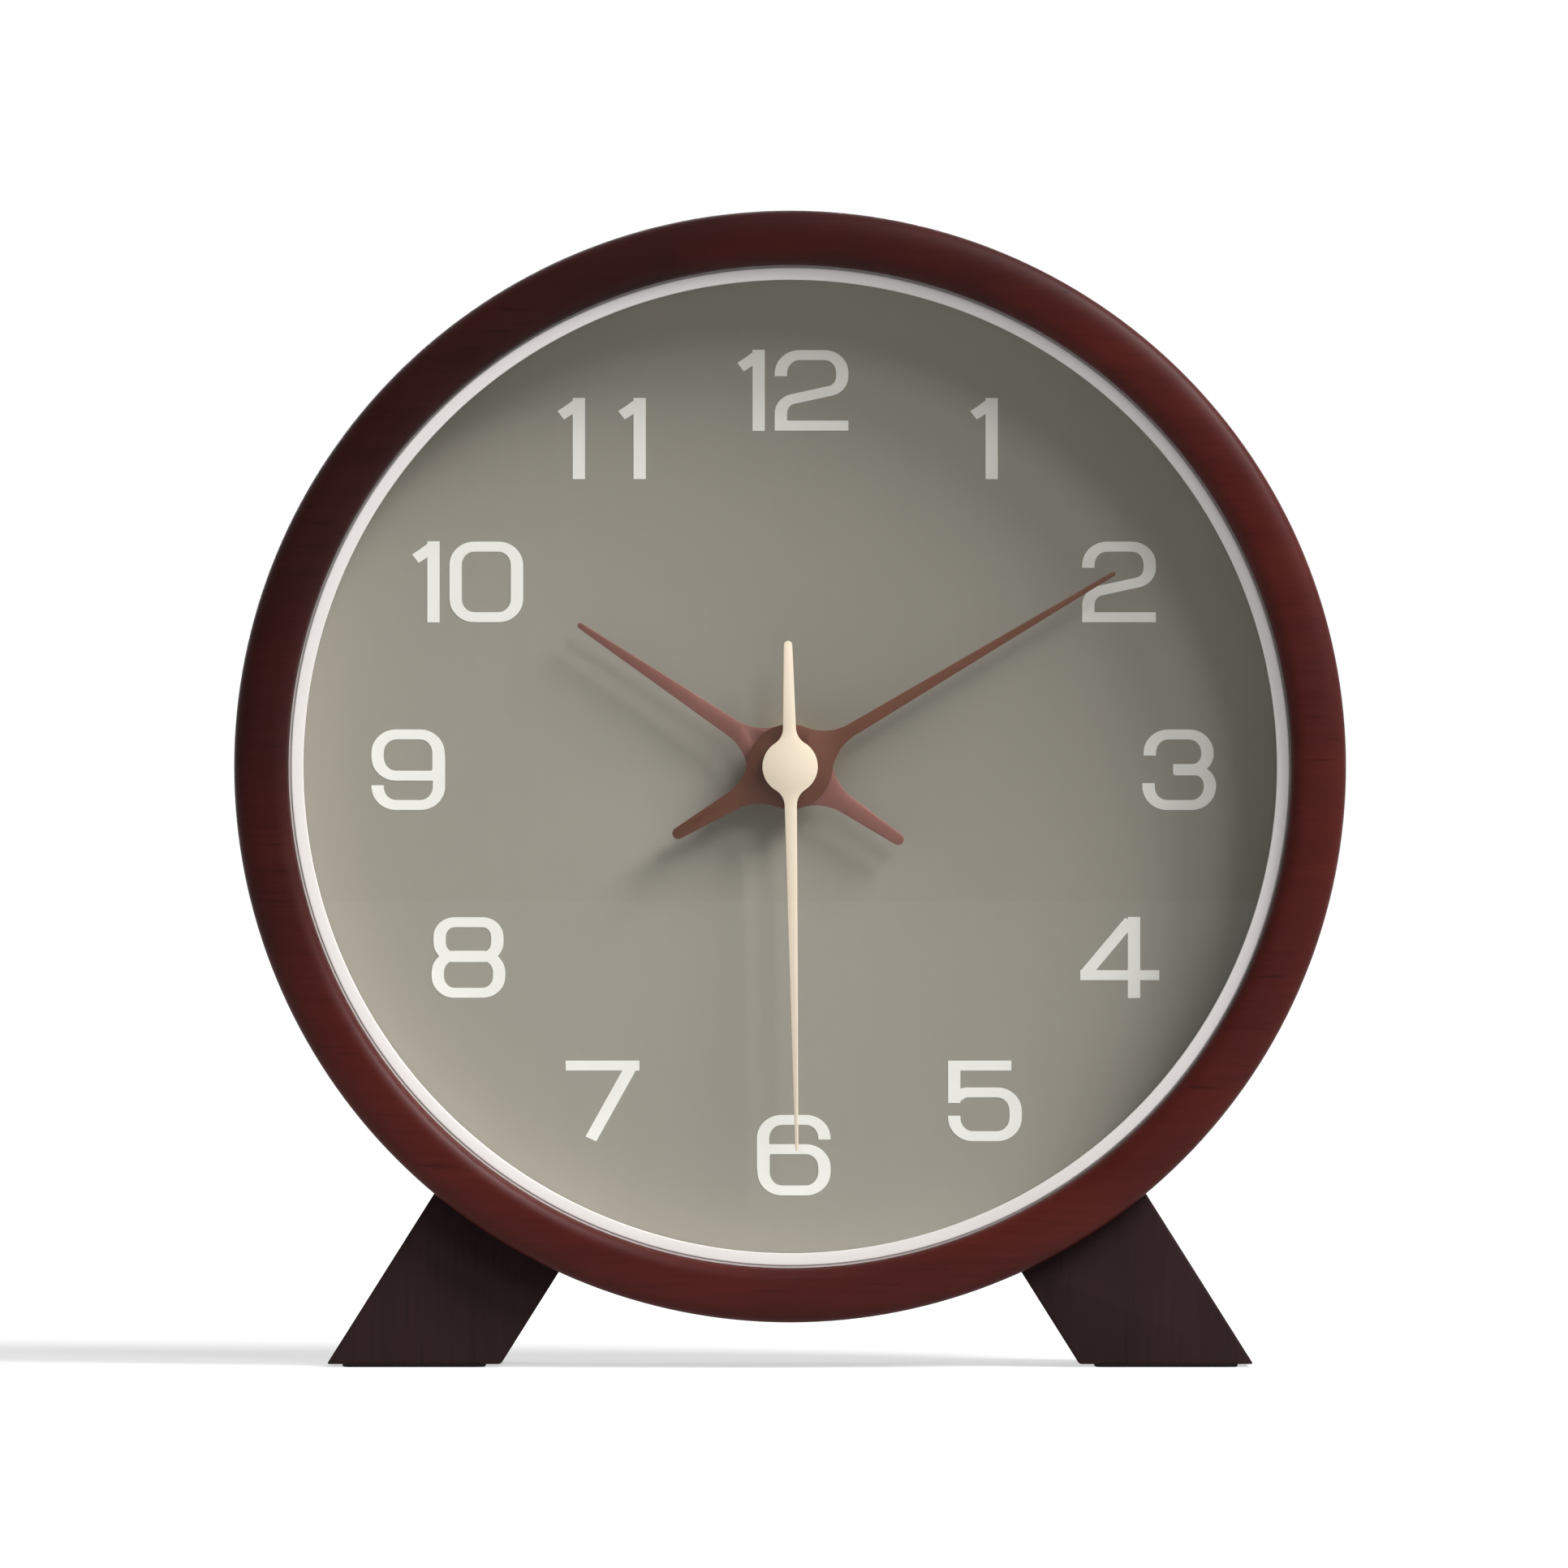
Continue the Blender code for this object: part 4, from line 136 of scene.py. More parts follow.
# Studio
FLOOR_SIZE = 12.0
FLOOR_LIFT = 0.60
FRONT_FILL = 0.22
ROUND_FILL = 0.05
MIRROR_STRENGTH = 0.06
PHOTO_SIDE = 1932
PIXEL = 2 * RIM_RADIUS / 1370
RIM_CENTRE = Vector((973.5, 944.5))
CAMERA_DISTANCE = 3.0
SENSOR_WIDTH = 36

# Numbers
PRINT_SHIFT = Vector((0.0006, -0.0005))
NUMERAL_RADIUS = 0.0619
NUMERAL_HEIGHT = 0.0131
NUMERAL_CORNER = 0.0030
UPRIGHT_STROKE = 0.0020
LEVEL_STROKE = 0.00162
PAIR_SPACE = 0.0016
ELEVEN_SPACE = 0.0057
WIDE_DIGIT_SHARE = 0.915
ONE_WIDTH_SHARE = 0.32
FOUR_WIDTH_SHARE = 1.0
PAINT_THICKNESS = 0.00006
STROKE_RISE = 0.000004
NUMERAL_REACH_SHARES = {12: 0.997, 3: 1.013, 6: 1.013, 9: 1.013, 1: 1.005, 5: 1.005, 7: 1.005, 11: 1.005}
DIAGONAL_REACH_SHARE = 0.987
DIGIT_SHARES = {
    0: [("ring", [(0, 0, 1), (1, 0, 1), (1, 1, 1), (0, 1, 1)])],
    1: [
        ("line", [(1, -0.075, 0), (1, 1.075, 0)]),
        ("line", [(-0.35, 0.83, 0), (0.15, 0.89, 0), (0.95, 1, 0)]),
    ],
    2: [
        (
            "line",
            [(0, 0.70, 0), (0, 1, 1), (1, 1, 0.95), (1, 0.53, 0.8), (0, 0.34, 0.8), (0, 0, 0), (1.1, 0, 0)],
        )
    ],
    3: [
        ("line", [(0.02, 0.70, 0), (0.02, 1, 1), (0.96, 1, 1), (0.96, 0.51, 0.8), (0.4, 0.51, 0)]),
        ("line", [(0.42, 0.49, 0), (1, 0.49, 0.8), (1, 0, 1), (0, 0, 1), (0, 0.31, 0)]),
    ],
    4: [
        ("line", [(0.72, -0.075, 0), (0.72, 1.075, 0)]),
        ("line", [(-0.068, 0.25, 0), (1.09, 0.25, 0)]),
        ("line", [(0.01, 0.27, 0), (0.66, 1.02, 0)]),
    ],
    5: [
        ("line", [(0.93, 1, 0), (0, 1, 0), (0, 0.47, 0)]),
        ("line", [(0, 0.53, 0), (0.16, 0.62, 0.6), (1, 0.62, 1), (1, 0, 1), (0, 0, 1), (0, 0.29, 0)]),
    ],
    6: [
        ("line", [(1, 0.72, 0), (1, 1, 1), (0, 1, 1), (0, 0.3, 0)]),
        ("ring", [(0.008, 0, 1), (1, 0, 1), (1, 0.585, 1), (0.008, 0.585, 0.4)]),
    ],
    7: [
        ("line", [(-0.1, 1, 0), (1.1, 1, 0)]),
        ("line", [(0.97, 0.99, 0), (0.31, -0.04, 0)]),
    ],
    8: [
        ("ring", [(0, 0, 0.9), (1, 0, 0.9), (1, 0.525, 0.9), (0, 0.525, 0.9)]),
        ("ring", [(0.03, 0.505, 0.8), (0.97, 0.505, 0.8), (0.97, 1, 0.8), (0.03, 1, 0.8)]),
    ],
}


# Mesh helpers


def clear_default_scene():
    for obj in list(bpy.data.objects):
        if obj.name in ("Cube", "Light", "Camera"):
            bpy.data.objects.remove(obj)


def towards(direction, distance):
    return Vector((math.cos(direction), math.sin(direction))) * distance


def add_object(name, mesh, matrix, material=None):
    obj = bpy.data.objects.new(name, mesh)
    bpy.context.scene.collection.objects.link(obj)
    obj.matrix_world = matrix
    if material:
        mesh.materials.clear()
        mesh.materials.append(material)
    return obj


def smooth(mesh, angle=32):
    mesh.shade_smooth()
    mesh.set_sharp_from_angle(angle=math.radians(angle))


def lathe(name, profile, matrix, material, steps=ROUND_STEPS):
    """A turned piece from (radius, height) points. A point on the axis becomes a pole, and a ring closes up."""
    cage = bmesh.new()
    rings = []
    for radius, height in profile:
        if radius < TINY:
            rings.append([cage.verts.new((0, 0, height))])
            continue
        spots = (towards(2 * math.pi * i / steps, radius) for i in range(steps))
        rings.append([cage.verts.new((spot.x, spot.y, height)) for spot in spots])
    pairs = list(zip(rings, rings[1:]))
    if profile[0][0] > TINY:
        pairs.append((rings[-1], rings[0]))
    for near, far in pairs:
        for i in range(steps):
            j = (i + 1) % steps
            corners = [near[i % len(near)], near[j % len(near)], far[j % len(far)], far[i % len(far)]]
            corners = list(dict.fromkeys(corners))
            if len(corners) > 2:
                cage.faces.new(corners)
    bmesh.ops.recalc_face_normals(cage, faces=cage.faces)
    mesh = bpy.data.meshes.new(name)
    cage.to_mesh(mesh)
    cage.free()
    smooth(mesh)
    return add_object(name, mesh, matrix, material)


def baked(obj):
    """The object with its modifiers applied."""
    bpy.context.view_layer.update()
    graph = bpy.context.evaluated_depsgraph_get()
    mesh = bpy.data.meshes.new_from_object(obj.evaluated_get(graph), depsgraph=graph)
    cage = bmesh.new()
    cage.from_mesh(mesh)
    bmesh.ops.remove_doubles(cage, verts=cage.verts, dist=MERGE_DISTANCE)
    cage.to_mesh(mesh)
    cage.free()
    obj.modifiers.clear()
    obj.data = mesh
    mesh.name = obj.name
    return obj


def plate(name, outlines, bottom, top, matrix, material, bevel=0.0, segments=3):
    """A flat outline with any holes, drawn out between two heights, with its edges rounded."""
    curve = bpy.data.curves.new(name + "_outline", "CURVE")
    curve.dimensions = "2D"
    curve.fill_mode = "BOTH"
    curve.extrude = (top - bottom) / 2
    for outline in outlines:
        spline = curve.splines.new("POLY")
        spline.points.add(len(outline) - 1)
        for point, (x, y) in zip(spline.points, outline):
            point.co = (x, y, 0, 1)
        spline.use_cyclic_u = True
    holder = bpy.data.objects.new(name + "_outline", curve)
    bpy.context.scene.collection.objects.link(holder)
    bpy.context.view_layer.update()
    graph = bpy.context.evaluated_depsgraph_get()
    mesh = bpy.data.meshes.new_from_object(holder.evaluated_get(graph), depsgraph=graph)
    bpy.data.objects.remove(holder)
    cage = bmesh.new()
    cage.from_mesh(mesh)
    bmesh.ops.remove_doubles(cage, verts=cage.verts, dist=MERGE_DISTANCE)
    bmesh.ops.translate(cage, vec=(0, 0, (top + bottom) / 2), verts=cage.verts)
    flat = [edge for edge in cage.edges if len(edge.link_faces) == 2 and edge.calc_face_angle(0) < 0.001]
    bmesh.ops.dissolve_edges(cage, edges=flat, use_verts=False)
    bmesh.ops.recalc_face_normals(cage, faces=cage.faces)
    cage.to_mesh(mesh)
    cage.free()
    obj = add_object(name, mesh, matrix, material)
    if bevel:
        soften(obj, bevel, segments)
    smooth(obj.data)
    return obj


def soften(obj, width, segments=3, angle=40):
    bevel = obj.modifiers.new("Bevel", "BEVEL")
    bevel.width = width
    bevel.segments = segments
    bevel.limit_method = "ANGLE"
    bevel.angle_limit = math.radians(angle)
    bevel.use_clamp_overlap = True
    baked(obj)
    smooth(obj.data)
    return obj


def box_tool(name, low, high, matrix):
    cage = bmesh.new()
    bmesh.ops.create_cube(cage, size=1)
    low = Vector(low)
    high = Vector(high)
    bmesh.ops.scale(cage, vec=high - low, verts=cage.verts)
    bmesh.ops.translate(cage, vec=(low + high) / 2, verts=cage.verts)
    mesh = bpy.data.meshes.new(name)
    cage.to_mesh(mesh)
    cage.free()
    return add_object(name, mesh, matrix)


def combine(target, tools, operation):
    """Cut the tools from the target or join them on, then drop them."""
    for tool in tools:
        boolean = target.modifiers.new(tool.name, "BOOLEAN")
        boolean.operation = operation
        boolean.solver = "EXACT"
        boolean.object = tool
    baked(target)
    for tool in tools:
        bpy.data.objects.remove(tool)
    return target


def cut(target, *tools):
    return combine(target, tools, "DIFFERENCE")


def join(target, *tools):
    return combine(target, tools, "UNION")


def fillet(before, corner, after, radius, steps):
    corner = Vector(corner)
    arriving = (corner - Vector(before)).normalized()
    leaving = (Vector(after) - corner).normalized()
    turn = arriving.angle_signed(leaving, 0)
    if radius <= 0 or abs(turn) < 0.02:
        return [tuple(corner)]
    reach = radius * math.tan(abs(turn) / 2)
    start = corner - arriving * reach
    side = Vector((-arriving.y, arriving.x)) if turn < 0 else Vector((arriving.y, -arriving.x))
    centre = start + side * radius
    spoke = start - centre
    points = []
    for i in range(steps + 1):
        angle = -turn * i / steps
        points.append(
            (
                centre.x + spoke.x * math.cos(angle) - spoke.y * math.sin(angle),
                centre.y + spoke.x * math.sin(angle) + spoke.y * math.cos(angle),
            )
        )
    return points


def rounded(corners, steps, closed=True):
    """An outline or a profile whose (x, y, radius) corners are rounded."""
    points = []
    count = len(corners)
    for i, (x, y, radius) in enumerate(corners):
        if not closed and i in (0, count - 1):
            points.append((x, y))
        else:
            points += fillet(corners[i - 1][:2], (x, y), corners[(i + 1) % count][:2], radius, steps)
    return points


def square(half, corner):
    return rounded([(x * half, y * half, corner) for x, y in UNIT_CORNERS], 10)


def circle(radius):
    return [tuple(towards(2 * math.pi * i / SMALL_STEPS, radius)) for i in range(SMALL_STEPS)]


# Materials


def maths(tree, operation, first, second):
    made = tree.nodes.new("ShaderNodeMath")
    made.operation = operation
    for socket, value in zip(made.inputs, (first, second)):
        if isinstance(value, bpy.types.NodeSocket):
            tree.links.new(value, socket)
        else:
            socket.default_value = value
    return made.outputs[0]


class Paint:
    """A material under construction: its tree, its shader and its coordinates."""

    def __init__(self, name):
        self.material = bpy.data.materials.new(name)
        self.material.use_nodes = True
        self.tree = self.material.node_tree
        self.shader = self.tree.nodes["Principled BSDF"]
        self.coordinates = self.tree.nodes.new("ShaderNodeTexCoord").outputs["Object"]

    def link(self, source, target):
        self.tree.links.new(source, target)

    def node(self, kind, **values):
        made = self.tree.nodes.new(kind)
        for key, value in values.items():
            if key in made.inputs:
                made.inputs[key].default_value = value
            else:
                setattr(made, key, value)
        return made

    def stretched(self, scale):
        mapping = self.node("ShaderNodeMapping")
        mapping.inputs["Scale"].default_value = scale
        self.link(self.coordinates, mapping.inputs["Vector"])
        return mapping.outputs["Vector"]

    def noise(self, scale, detail=3.0, roughness=0.5, distortion=0.0, vector=None):
        noise = self.node("ShaderNodeTexNoise")
        noise.inputs["Scale"].default_value = scale
        noise.inputs["Detail"].default_value = detail
        noise.inputs["Roughness"].default_value = roughness
        noise.inputs["Distortion"].default_value = distortion
        self.link(vector or self.coordinates, noise.inputs["Vector"])
        return noise.outputs["Fac"]

    def ramp(self, source, stops):
        ramp = self.node("ShaderNodeValToRGB")
        elements = ramp.color_ramp.elements
        while len(elements) < len(stops):
            elements.new(0.5)
        for element, (place, colour) in zip(elements, stops):
            element.position = place
            element.color = (*colour, 1.0) if len(colour) == 3 else colour
        self.link(source, ramp.inputs["Fac"])
        return ramp.outputs["Color"]

    def spread(self, source, low, high, start=0.3, end=0.7):
        spread = self.node("ShaderNodeMapRange")
        spread.inputs["From Min"].default_value = start
        spread.inputs["From Max"].default_value = end
        spread.inputs["To Min"].default_value = low
        spread.inputs["To Max"].default_value = high
        self.link(source, spread.inputs["Value"])
        return spread.outputs["Result"]

    def mix(self, amount, first, second, blend="MIX"):
        mix = self.tree.nodes.new("ShaderNodeMix")
        mix.data_type = "RGBA"
        mix.blend_type = blend
        sockets = [mix.inputs[0], mix.inputs[6], mix.inputs[7]]
        for socket, value in zip(sockets, (amount, first, second)):
            if isinstance(value, bpy.types.NodeSocket):
                self.link(value, socket)
            elif isinstance(value, (int, float)):
                socket.default_value = value
            else:
                socket.default_value = (*value, 1.0)
        return mix.outputs[2]

    def maths(self, operation, first, second):
        return maths(self.tree, operation, first, second)

    def bump(self, height, distance, strength=1.0):
        bump = self.node("ShaderNodeBump")
        bump.inputs["Distance"].default_value = distance
        bump.inputs["Strength"].default_value = strength
        self.link(height, bump.inputs["Height"])
        self.link(bump.outputs["Normal"], self.shader.inputs["Normal"])

    def set(self, **values):
        for key, value in values.items():
            socket = self.shader.inputs[key.replace("_", " ")]
            if isinstance(value, bpy.types.NodeSocket):
                self.link(value, socket)
            else:
                socket.default_value = value
        return self


def shade(colour, factor):
    return tuple(min(channel * factor, 1.0) for channel in colour)


def plain_finish(name, colour, roughness, metallic, variation, grain, bump):
    """A moulded, painted or metal surface: soft patches in its colour and gloss, and a fine grain in its relief."""
    paint = Paint(name)
    patch = paint.noise(45, 4, 0.55)
    fine = paint.noise(grain, 3, 0.6)
    low = shade(colour, 1 - variation)
    high = shade(colour, 1 + variation)
    patched = paint.ramp(patch, [(0.3, low), (0.7, high)])
    grained = paint.ramp(fine, [(0.35, low), (0.65, high)])
    paint.set(
        Base_Color=paint.mix(0.35, patched, grained),
        Roughness=paint.spread(patch, roughness * 0.9, roughness * 1.1),
        Metallic=metallic,
    )
    paint.bump(fine, bump)
    return paint.material


def wood_finish(name, dark, light, pore, roughness, along, shine, painted_shade_towards=None):
    """Stained wood: long streaks, finer fibres across them and short dark pores.

    Where a direction is given for painted shade, the wood is painted darker towards it, as painted shade, and lighter
    on the far side, as painted light.
    """
    paint = Paint(name)
    long_scale = {"X": (9, 130, 130), "Y": (130, 9, 130)}[along]
    fibre_scale = {"X": (60, 1400, 1400), "Y": (1400, 60, 1400)}[along]
    streaks = paint.noise(1.0, 4, 0.6, 0.6, paint.stretched(long_scale))
    fibres = paint.noise(1.0, 2, 0.5, 0.2, paint.stretched(fibre_scale))
    blotches = paint.noise(38, 3, 0.55)
    colour = paint.ramp(streaks, [(0.30, dark), (0.72, light)])
    colour = paint.mix(0.28, colour, paint.ramp(fibres, [(0.35, dark), (0.65, light)]))
    colour = paint.mix(0.30, colour, paint.ramp(blotches, [(0.3, dark), (0.7, light)]))
    pores = paint.spread(fibres, 1.0, 0.0, 0.24, 0.34)
    colour = paint.mix(paint.maths("MULTIPLY", pores, 0.55), colour, pore)
    if painted_shade_towards:
        # Painted shade: towards the given direction the colour is darkened to about half, as if that side were out of
        # the light, and on the far side it is lightened a little as painted light; the blotches break up the edge.
        painted_shade_stops = [(0.36, (1.12, 1.08, 1.08)), (0.88, (0.37, 0.46, 0.56))]
        place = paint.node("ShaderNodeVectorMath", operation="DOT_PRODUCT")
        paint.link(paint.coordinates, place.inputs[0])
        place.inputs[1].default_value = painted_shade_towards
        painted_shade_amount = paint.maths("ADD", paint.spread(place.outputs["Value"], 0.0, 0.75, 0.010, 0.088), blotches)
        painted_shade_colour = paint.ramp(paint.maths("MULTIPLY", painted_shade_amount, 0.8), painted_shade_stops)
        colour = paint.mix(1.0, colour, painted_shade_colour, "MULTIPLY")
    paint.set(
        Base_Color=colour,
        Roughness=paint.spread(blotches, roughness * 0.9, roughness * 1.12),
        Specular_IOR_Level=shine,
    )
    height = paint.maths("ADD", paint.maths("MULTIPLY", fibres, 0.5), paint.maths("MULTIPLY", blotches, 0.5))
    paint.bump(height, 0.00003, 0.6)
    return paint.material


def dial_finish():
    """Matt taupe paint on a thin metal dial, with an upright brushed grain under it and a fine orange-peel."""
    paint = Paint("dial_taupe")
    brushed = paint.noise(1.0, 3, 0.6, 0.0, paint.stretched((900, 26, 900)))
    speck = paint.noise(2600, 2, 0.5)
    broad = paint.noise(22, 2, 0.5)
    base = (0.288, 0.270, 0.223)
    colour = paint.ramp(brushed, [(0.25, shade(base, 0.965)), (0.75, shade(base, 1.03))])
    colour = paint.mix(0.35, colour, paint.ramp(speck, [(0.3, shade(base, 0.95)), (0.7, shade(base, 1.04))]))
    colour = paint.mix(0.35, colour, paint.ramp(broad, [(0.3, shade(base, 0.98)), (0.7, shade(base, 1.02))]))
    paint.set(Base_Color=colour, Roughness=paint.spread(brushed, 0.52, 0.62), Metallic=0.0)
    paint.bump(paint.maths("ADD", speck, brushed), 0.000004, 0.5)
    return paint.material


def glass_finish():
    """Clear glass with a faint unevenness in its polish.

    The lamps' light goes straight through it, and so does what the dial scatters, which would otherwise meet the
    lamps a second time as refracted light.
    """
    paint = Paint("clear_pane")
    haze = paint.noise(35, 3, 0.6)
    paint.set(
        Base_Color=paint.ramp(haze, [(0.3, (0.985, 0.99, 0.985)), (0.7, (1.0, 1.0, 1.0))]),
        Roughness=0.0,
        IOR=1.45,
        Transmission_Weight=1.0,
    )
    tree = paint.tree
    clear = tree.nodes.new("ShaderNodeBsdfTransparent")
    path = tree.nodes.new("ShaderNodeLightPath")
    surface = paint.shader.outputs["BSDF"]
    for rays in ("Is Diffuse Ray", "Is Shadow Ray"):
        either = tree.nodes.new("ShaderNodeMixShader")
        paint.link(path.outputs[rays], either.inputs["Fac"])
        paint.link(surface, either.inputs[1])
        paint.link(clear.outputs["BSDF"], either.inputs[2])
        surface = either.outputs["Shader"]
    paint.link(surface, tree.nodes["Material Output"].inputs["Surface"])
    return paint.material


def felt_finish():
    paint = Paint("pressed_felt")
    fibres = paint.noise(1800, 5, 0.75, 1.5)
    paint.set(
        Base_Color=paint.ramp(fibres, [(0.3, (0.016, 0.014, 0.014)), (0.7, (0.055, 0.048, 0.048))]),
        Roughness=paint.spread(fibres, 0.9, 1.0),
        Sheen_Weight=0.3,
    )
    paint.bump(fibres, 0.0001)
    return paint.material


def winding_finish():
    """Fine enamelled wire, wound side by side along the coil."""
    paint = Paint("wound_wire")
    wave = paint.node("ShaderNodeTexWave", bands_direction="X")
    wave.inputs["Scale"].default_value = 1500
    wave.inputs["Distortion"].default_value = 0.4
    paint.link(paint.coordinates, wave.inputs["Vector"])
    paint.set(
        Base_Color=paint.ramp(wave.outputs["Fac"], [(0.1, (0.30, 0.09, 0.03)), (0.8, (0.75, 0.30, 0.13))]),
        Roughness=paint.spread(wave.outputs["Fac"], 0.45, 0.25, 0, 1),
        Metallic=0.9,
    )
    paint.bump(wave.outputs["Fac"], 0.00005)
    return paint.material


def cell_finish():
    """A plain printed wrapper on a steel can: a dark body, a pale band, and bare metal at both ends."""
    paint = Paint("cell_wrapper")
    split = paint.node("ShaderNodeSeparateXYZ")
    paint.link(paint.coordinates, split.inputs[0])
    place = paint.spread(split.outputs["Z"], 0.0, 1.0, -0.0270, 0.0250)
    fine = paint.noise(700, 3, 0.6)
    body = [
        (0.0, (0.50, 0.50, 0.51)),
        (0.035, (0.50, 0.50, 0.51)),
        (0.040, (0.030, 0.075, 0.085)),
        (0.20, (0.030, 0.075, 0.085)),
        (0.205, (0.42, 0.43, 0.42)),
        (0.225, (0.42, 0.43, 0.42)),
        (0.230, (0.020, 0.022, 0.025)),
        (0.975, (0.020, 0.022, 0.025)),
        (0.980, (0.50, 0.50, 0.51)),
    ]
    bare, printed = (1, 1, 1), (0.15, 0.15, 0.15)
    metal = [(0.0, bare), (0.037, bare), (0.038, printed), (0.977, printed), (0.978, bare)]
    wear = paint.ramp(fine, [(0.4, (0.9, 0.9, 0.9)), (0.6, (1.0, 1.0, 1.0))])
    paint.set(
        Base_Color=paint.mix(1.0, paint.ramp(place, body), wear, "MULTIPLY"),
        Roughness=paint.spread(fine, 0.28, 0.36),
        Metallic=paint.ramp(place, metal),
    )
    paint.bump(fine, 0.000006)
    return paint.material


# The ring's red-stained wood also carries painted shade: it is painted darker towards the ring's upper left and
# lighter towards its lower right, as light falls on it.
RED_WOOD = wood_finish(
    "red_stain_and_painted_shade",
    dark=(0.047, 0.0060, 0.0045),
    light=(0.084, 0.0125, 0.0085),
    pore=(0.020, 0.003, 0.002),
    roughness=0.44,
    along="X",
    shine=0.14,
    painted_shade_towards=(-math.sqrt(0.5), math.sqrt(0.5), 0.0),
)
DARK_WOOD = wood_finish(
    "black_stain",
    dark=(0.021, 0.0105, 0.0108),
    light=(0.034, 0.0165, 0.0172),
    pore=(0.010, 0.006, 0.006),
    roughness=0.62,
    along="Y",
    shine=0.08,
)
SLOTS = {
    "red_wood": RED_WOOD,
    "dark_wood": DARK_WOOD,
    "clear_glass": glass_finish(),
    "white_plastic": plain_finish("ivory_plastic", (0.79, 0.75, 0.725), 0.42, 0.0, 0.02, 1500, 0.000006),
    "dial_paint": dial_finish(),
    "black_plastic": plain_finish("black_moulding", (0.020, 0.020, 0.021), 0.50, 0.0, 0.18, 2600, 0.00002),
    "steel": plain_finish("plated_steel", (0.58, 0.58, 0.59), 0.28, 1.0, 0.08, 1200, 0.000005),
    "felt": felt_finish(),
    "copper_finish": plain_finish("copper_lacquer", (0.122, 0.040, 0.019), 0.42, 0.30, 0.06, 1800, 0.000003),
    "cream_paint": plain_finish("cream_lacquer", (0.89, 0.76, 0.59), 0.45, 0.0, 0.03, 1800, 0.000003),
    "brass": plain_finish("turned_brass", (0.66, 0.45, 0.17), 0.26, 1.0, 0.08, 1400, 0.000005),
    "grey_plastic": plain_finish("grey_moulding", (0.095, 0.095, 0.10), 0.48, 0.0, 0.15, 2200, 0.000015),
    "rubber": plain_finish("soft_rubber", (0.022, 0.022, 0.022), 0.85, 0.0, 0.2, 1500, 0.00002),
    "acetal": plain_finish("white_acetal", (0.80, 0.79, 0.74), 0.42, 0.0, 0.03, 1500, 0.000008),
    "magnet": plain_finish("sintered_magnet", (0.11, 0.11, 0.12), 0.40, 0.8, 0.2, 2600, 0.00001),
    "silicon_steel": plain_finish("rolled_steel", (0.33, 0.33, 0.34), 0.42, 1.0, 0.1, 900, 0.000006),
    "copper_wire": winding_finish(),
    "board_green": plain_finish("solder_mask", (0.022, 0.13, 0.055), 0.35, 0.0, 0.15, 900, 0.00001),
    "cell_label": cell_finish(),
}
NUMBER_PAINT = plain_finish("number_paint", (0.87, 0.865, 0.80), 0.55, 0.0, 0.02, 1800, 0.000003)
HOUR_COPPER = plain_finish("copper_lacquer_hour", (0.235, 0.098, 0.078), 0.38, 0.35, 0.06, 1800, 0.000003)


def dress(piece, body, slot, *nodes):
    """Set the piece on its body, in place of the nodes."""
    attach(piece, body)
    if nodes:
        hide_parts(*nodes)
    return piece


def finish_nodes():
    """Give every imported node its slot's material."""
    slots = {part["node"]: part["material_slot"] for part in frame["record"]["subparts"]}
    for name, obj in NODES.items():
        obj.data.materials.clear()
        obj.data.materials.append(SLOTS[slots[name]])
        for polygon in obj.data.polygons:
            polygon.material_index = 0


# Case


def make_rim():
    """The wood ring. Its front is a low bead, highest towards its inner edge."""
    crest = LIP_RADIUS + (RIM_RADIUS - LIP_RADIUS) * BEAD_CREST
    crown = RIM_FRONT - BEAD_BASE - BEAD_WALL
    profile = []
    for i in range(61):
        angle = math.pi * (1 - i / 60)
        across = math.copysign(abs(math.cos(angle)) ** BEAD_FULLNESS, math.cos(angle))
        up = abs(math.sin(angle)) ** BEAD_FULLNESS if 0 < i < 60 else 0
        side = crest - LIP_RADIUS if i < 30 else RIM_RADIUS - crest
        profile.append((crest + side * across, BEAD_BASE + BEAD_WALL + crown * up))
    behind = [
        (RIM_RADIUS, BEAD_BASE + BEAD_WALL, 0),
        (RIM_RADIUS, BEAD_BASE, 0.0006),
        (BARREL_RADIUS, BARREL_FRONT, 0.0006),
        (BARREL_RADIUS, CASE_BACK, 0.0009),
        (BORE_RADIUS, CASE_BACK, 0.0003),
        (BORE_RADIUS, LIP_Z, 0),
        (LIP_RADIUS, LIP_Z, 0.0002),
        (LIP_RADIUS, BEAD_BASE + BEAD_WALL, 0),
    ]
    profile += rounded(behind, 6, closed=False)[1:-1]
    dress(lathe("rim", profile, DIAL, SLOTS["red_wood"]), "case", "red_wood", "wood_case")


def make_glass():
    profile = [
        (0, GLASS_FRONT),
        (FILL_RADIUS - GLASS_EDGE, GLASS_FRONT),
        (FILL_RADIUS, GLASS_FRONT - GLASS_EDGE),
        (FILL_RADIUS, GLASS_BACK + GLASS_EDGE),
        (FILL_RADIUS - GLASS_EDGE, GLASS_BACK),
        (0, GLASS_BACK),
    ]
    dress(lathe("glass_pane", profile, DIAL, SLOTS["clear_glass"]), "case", "clear_glass", "front_glass")


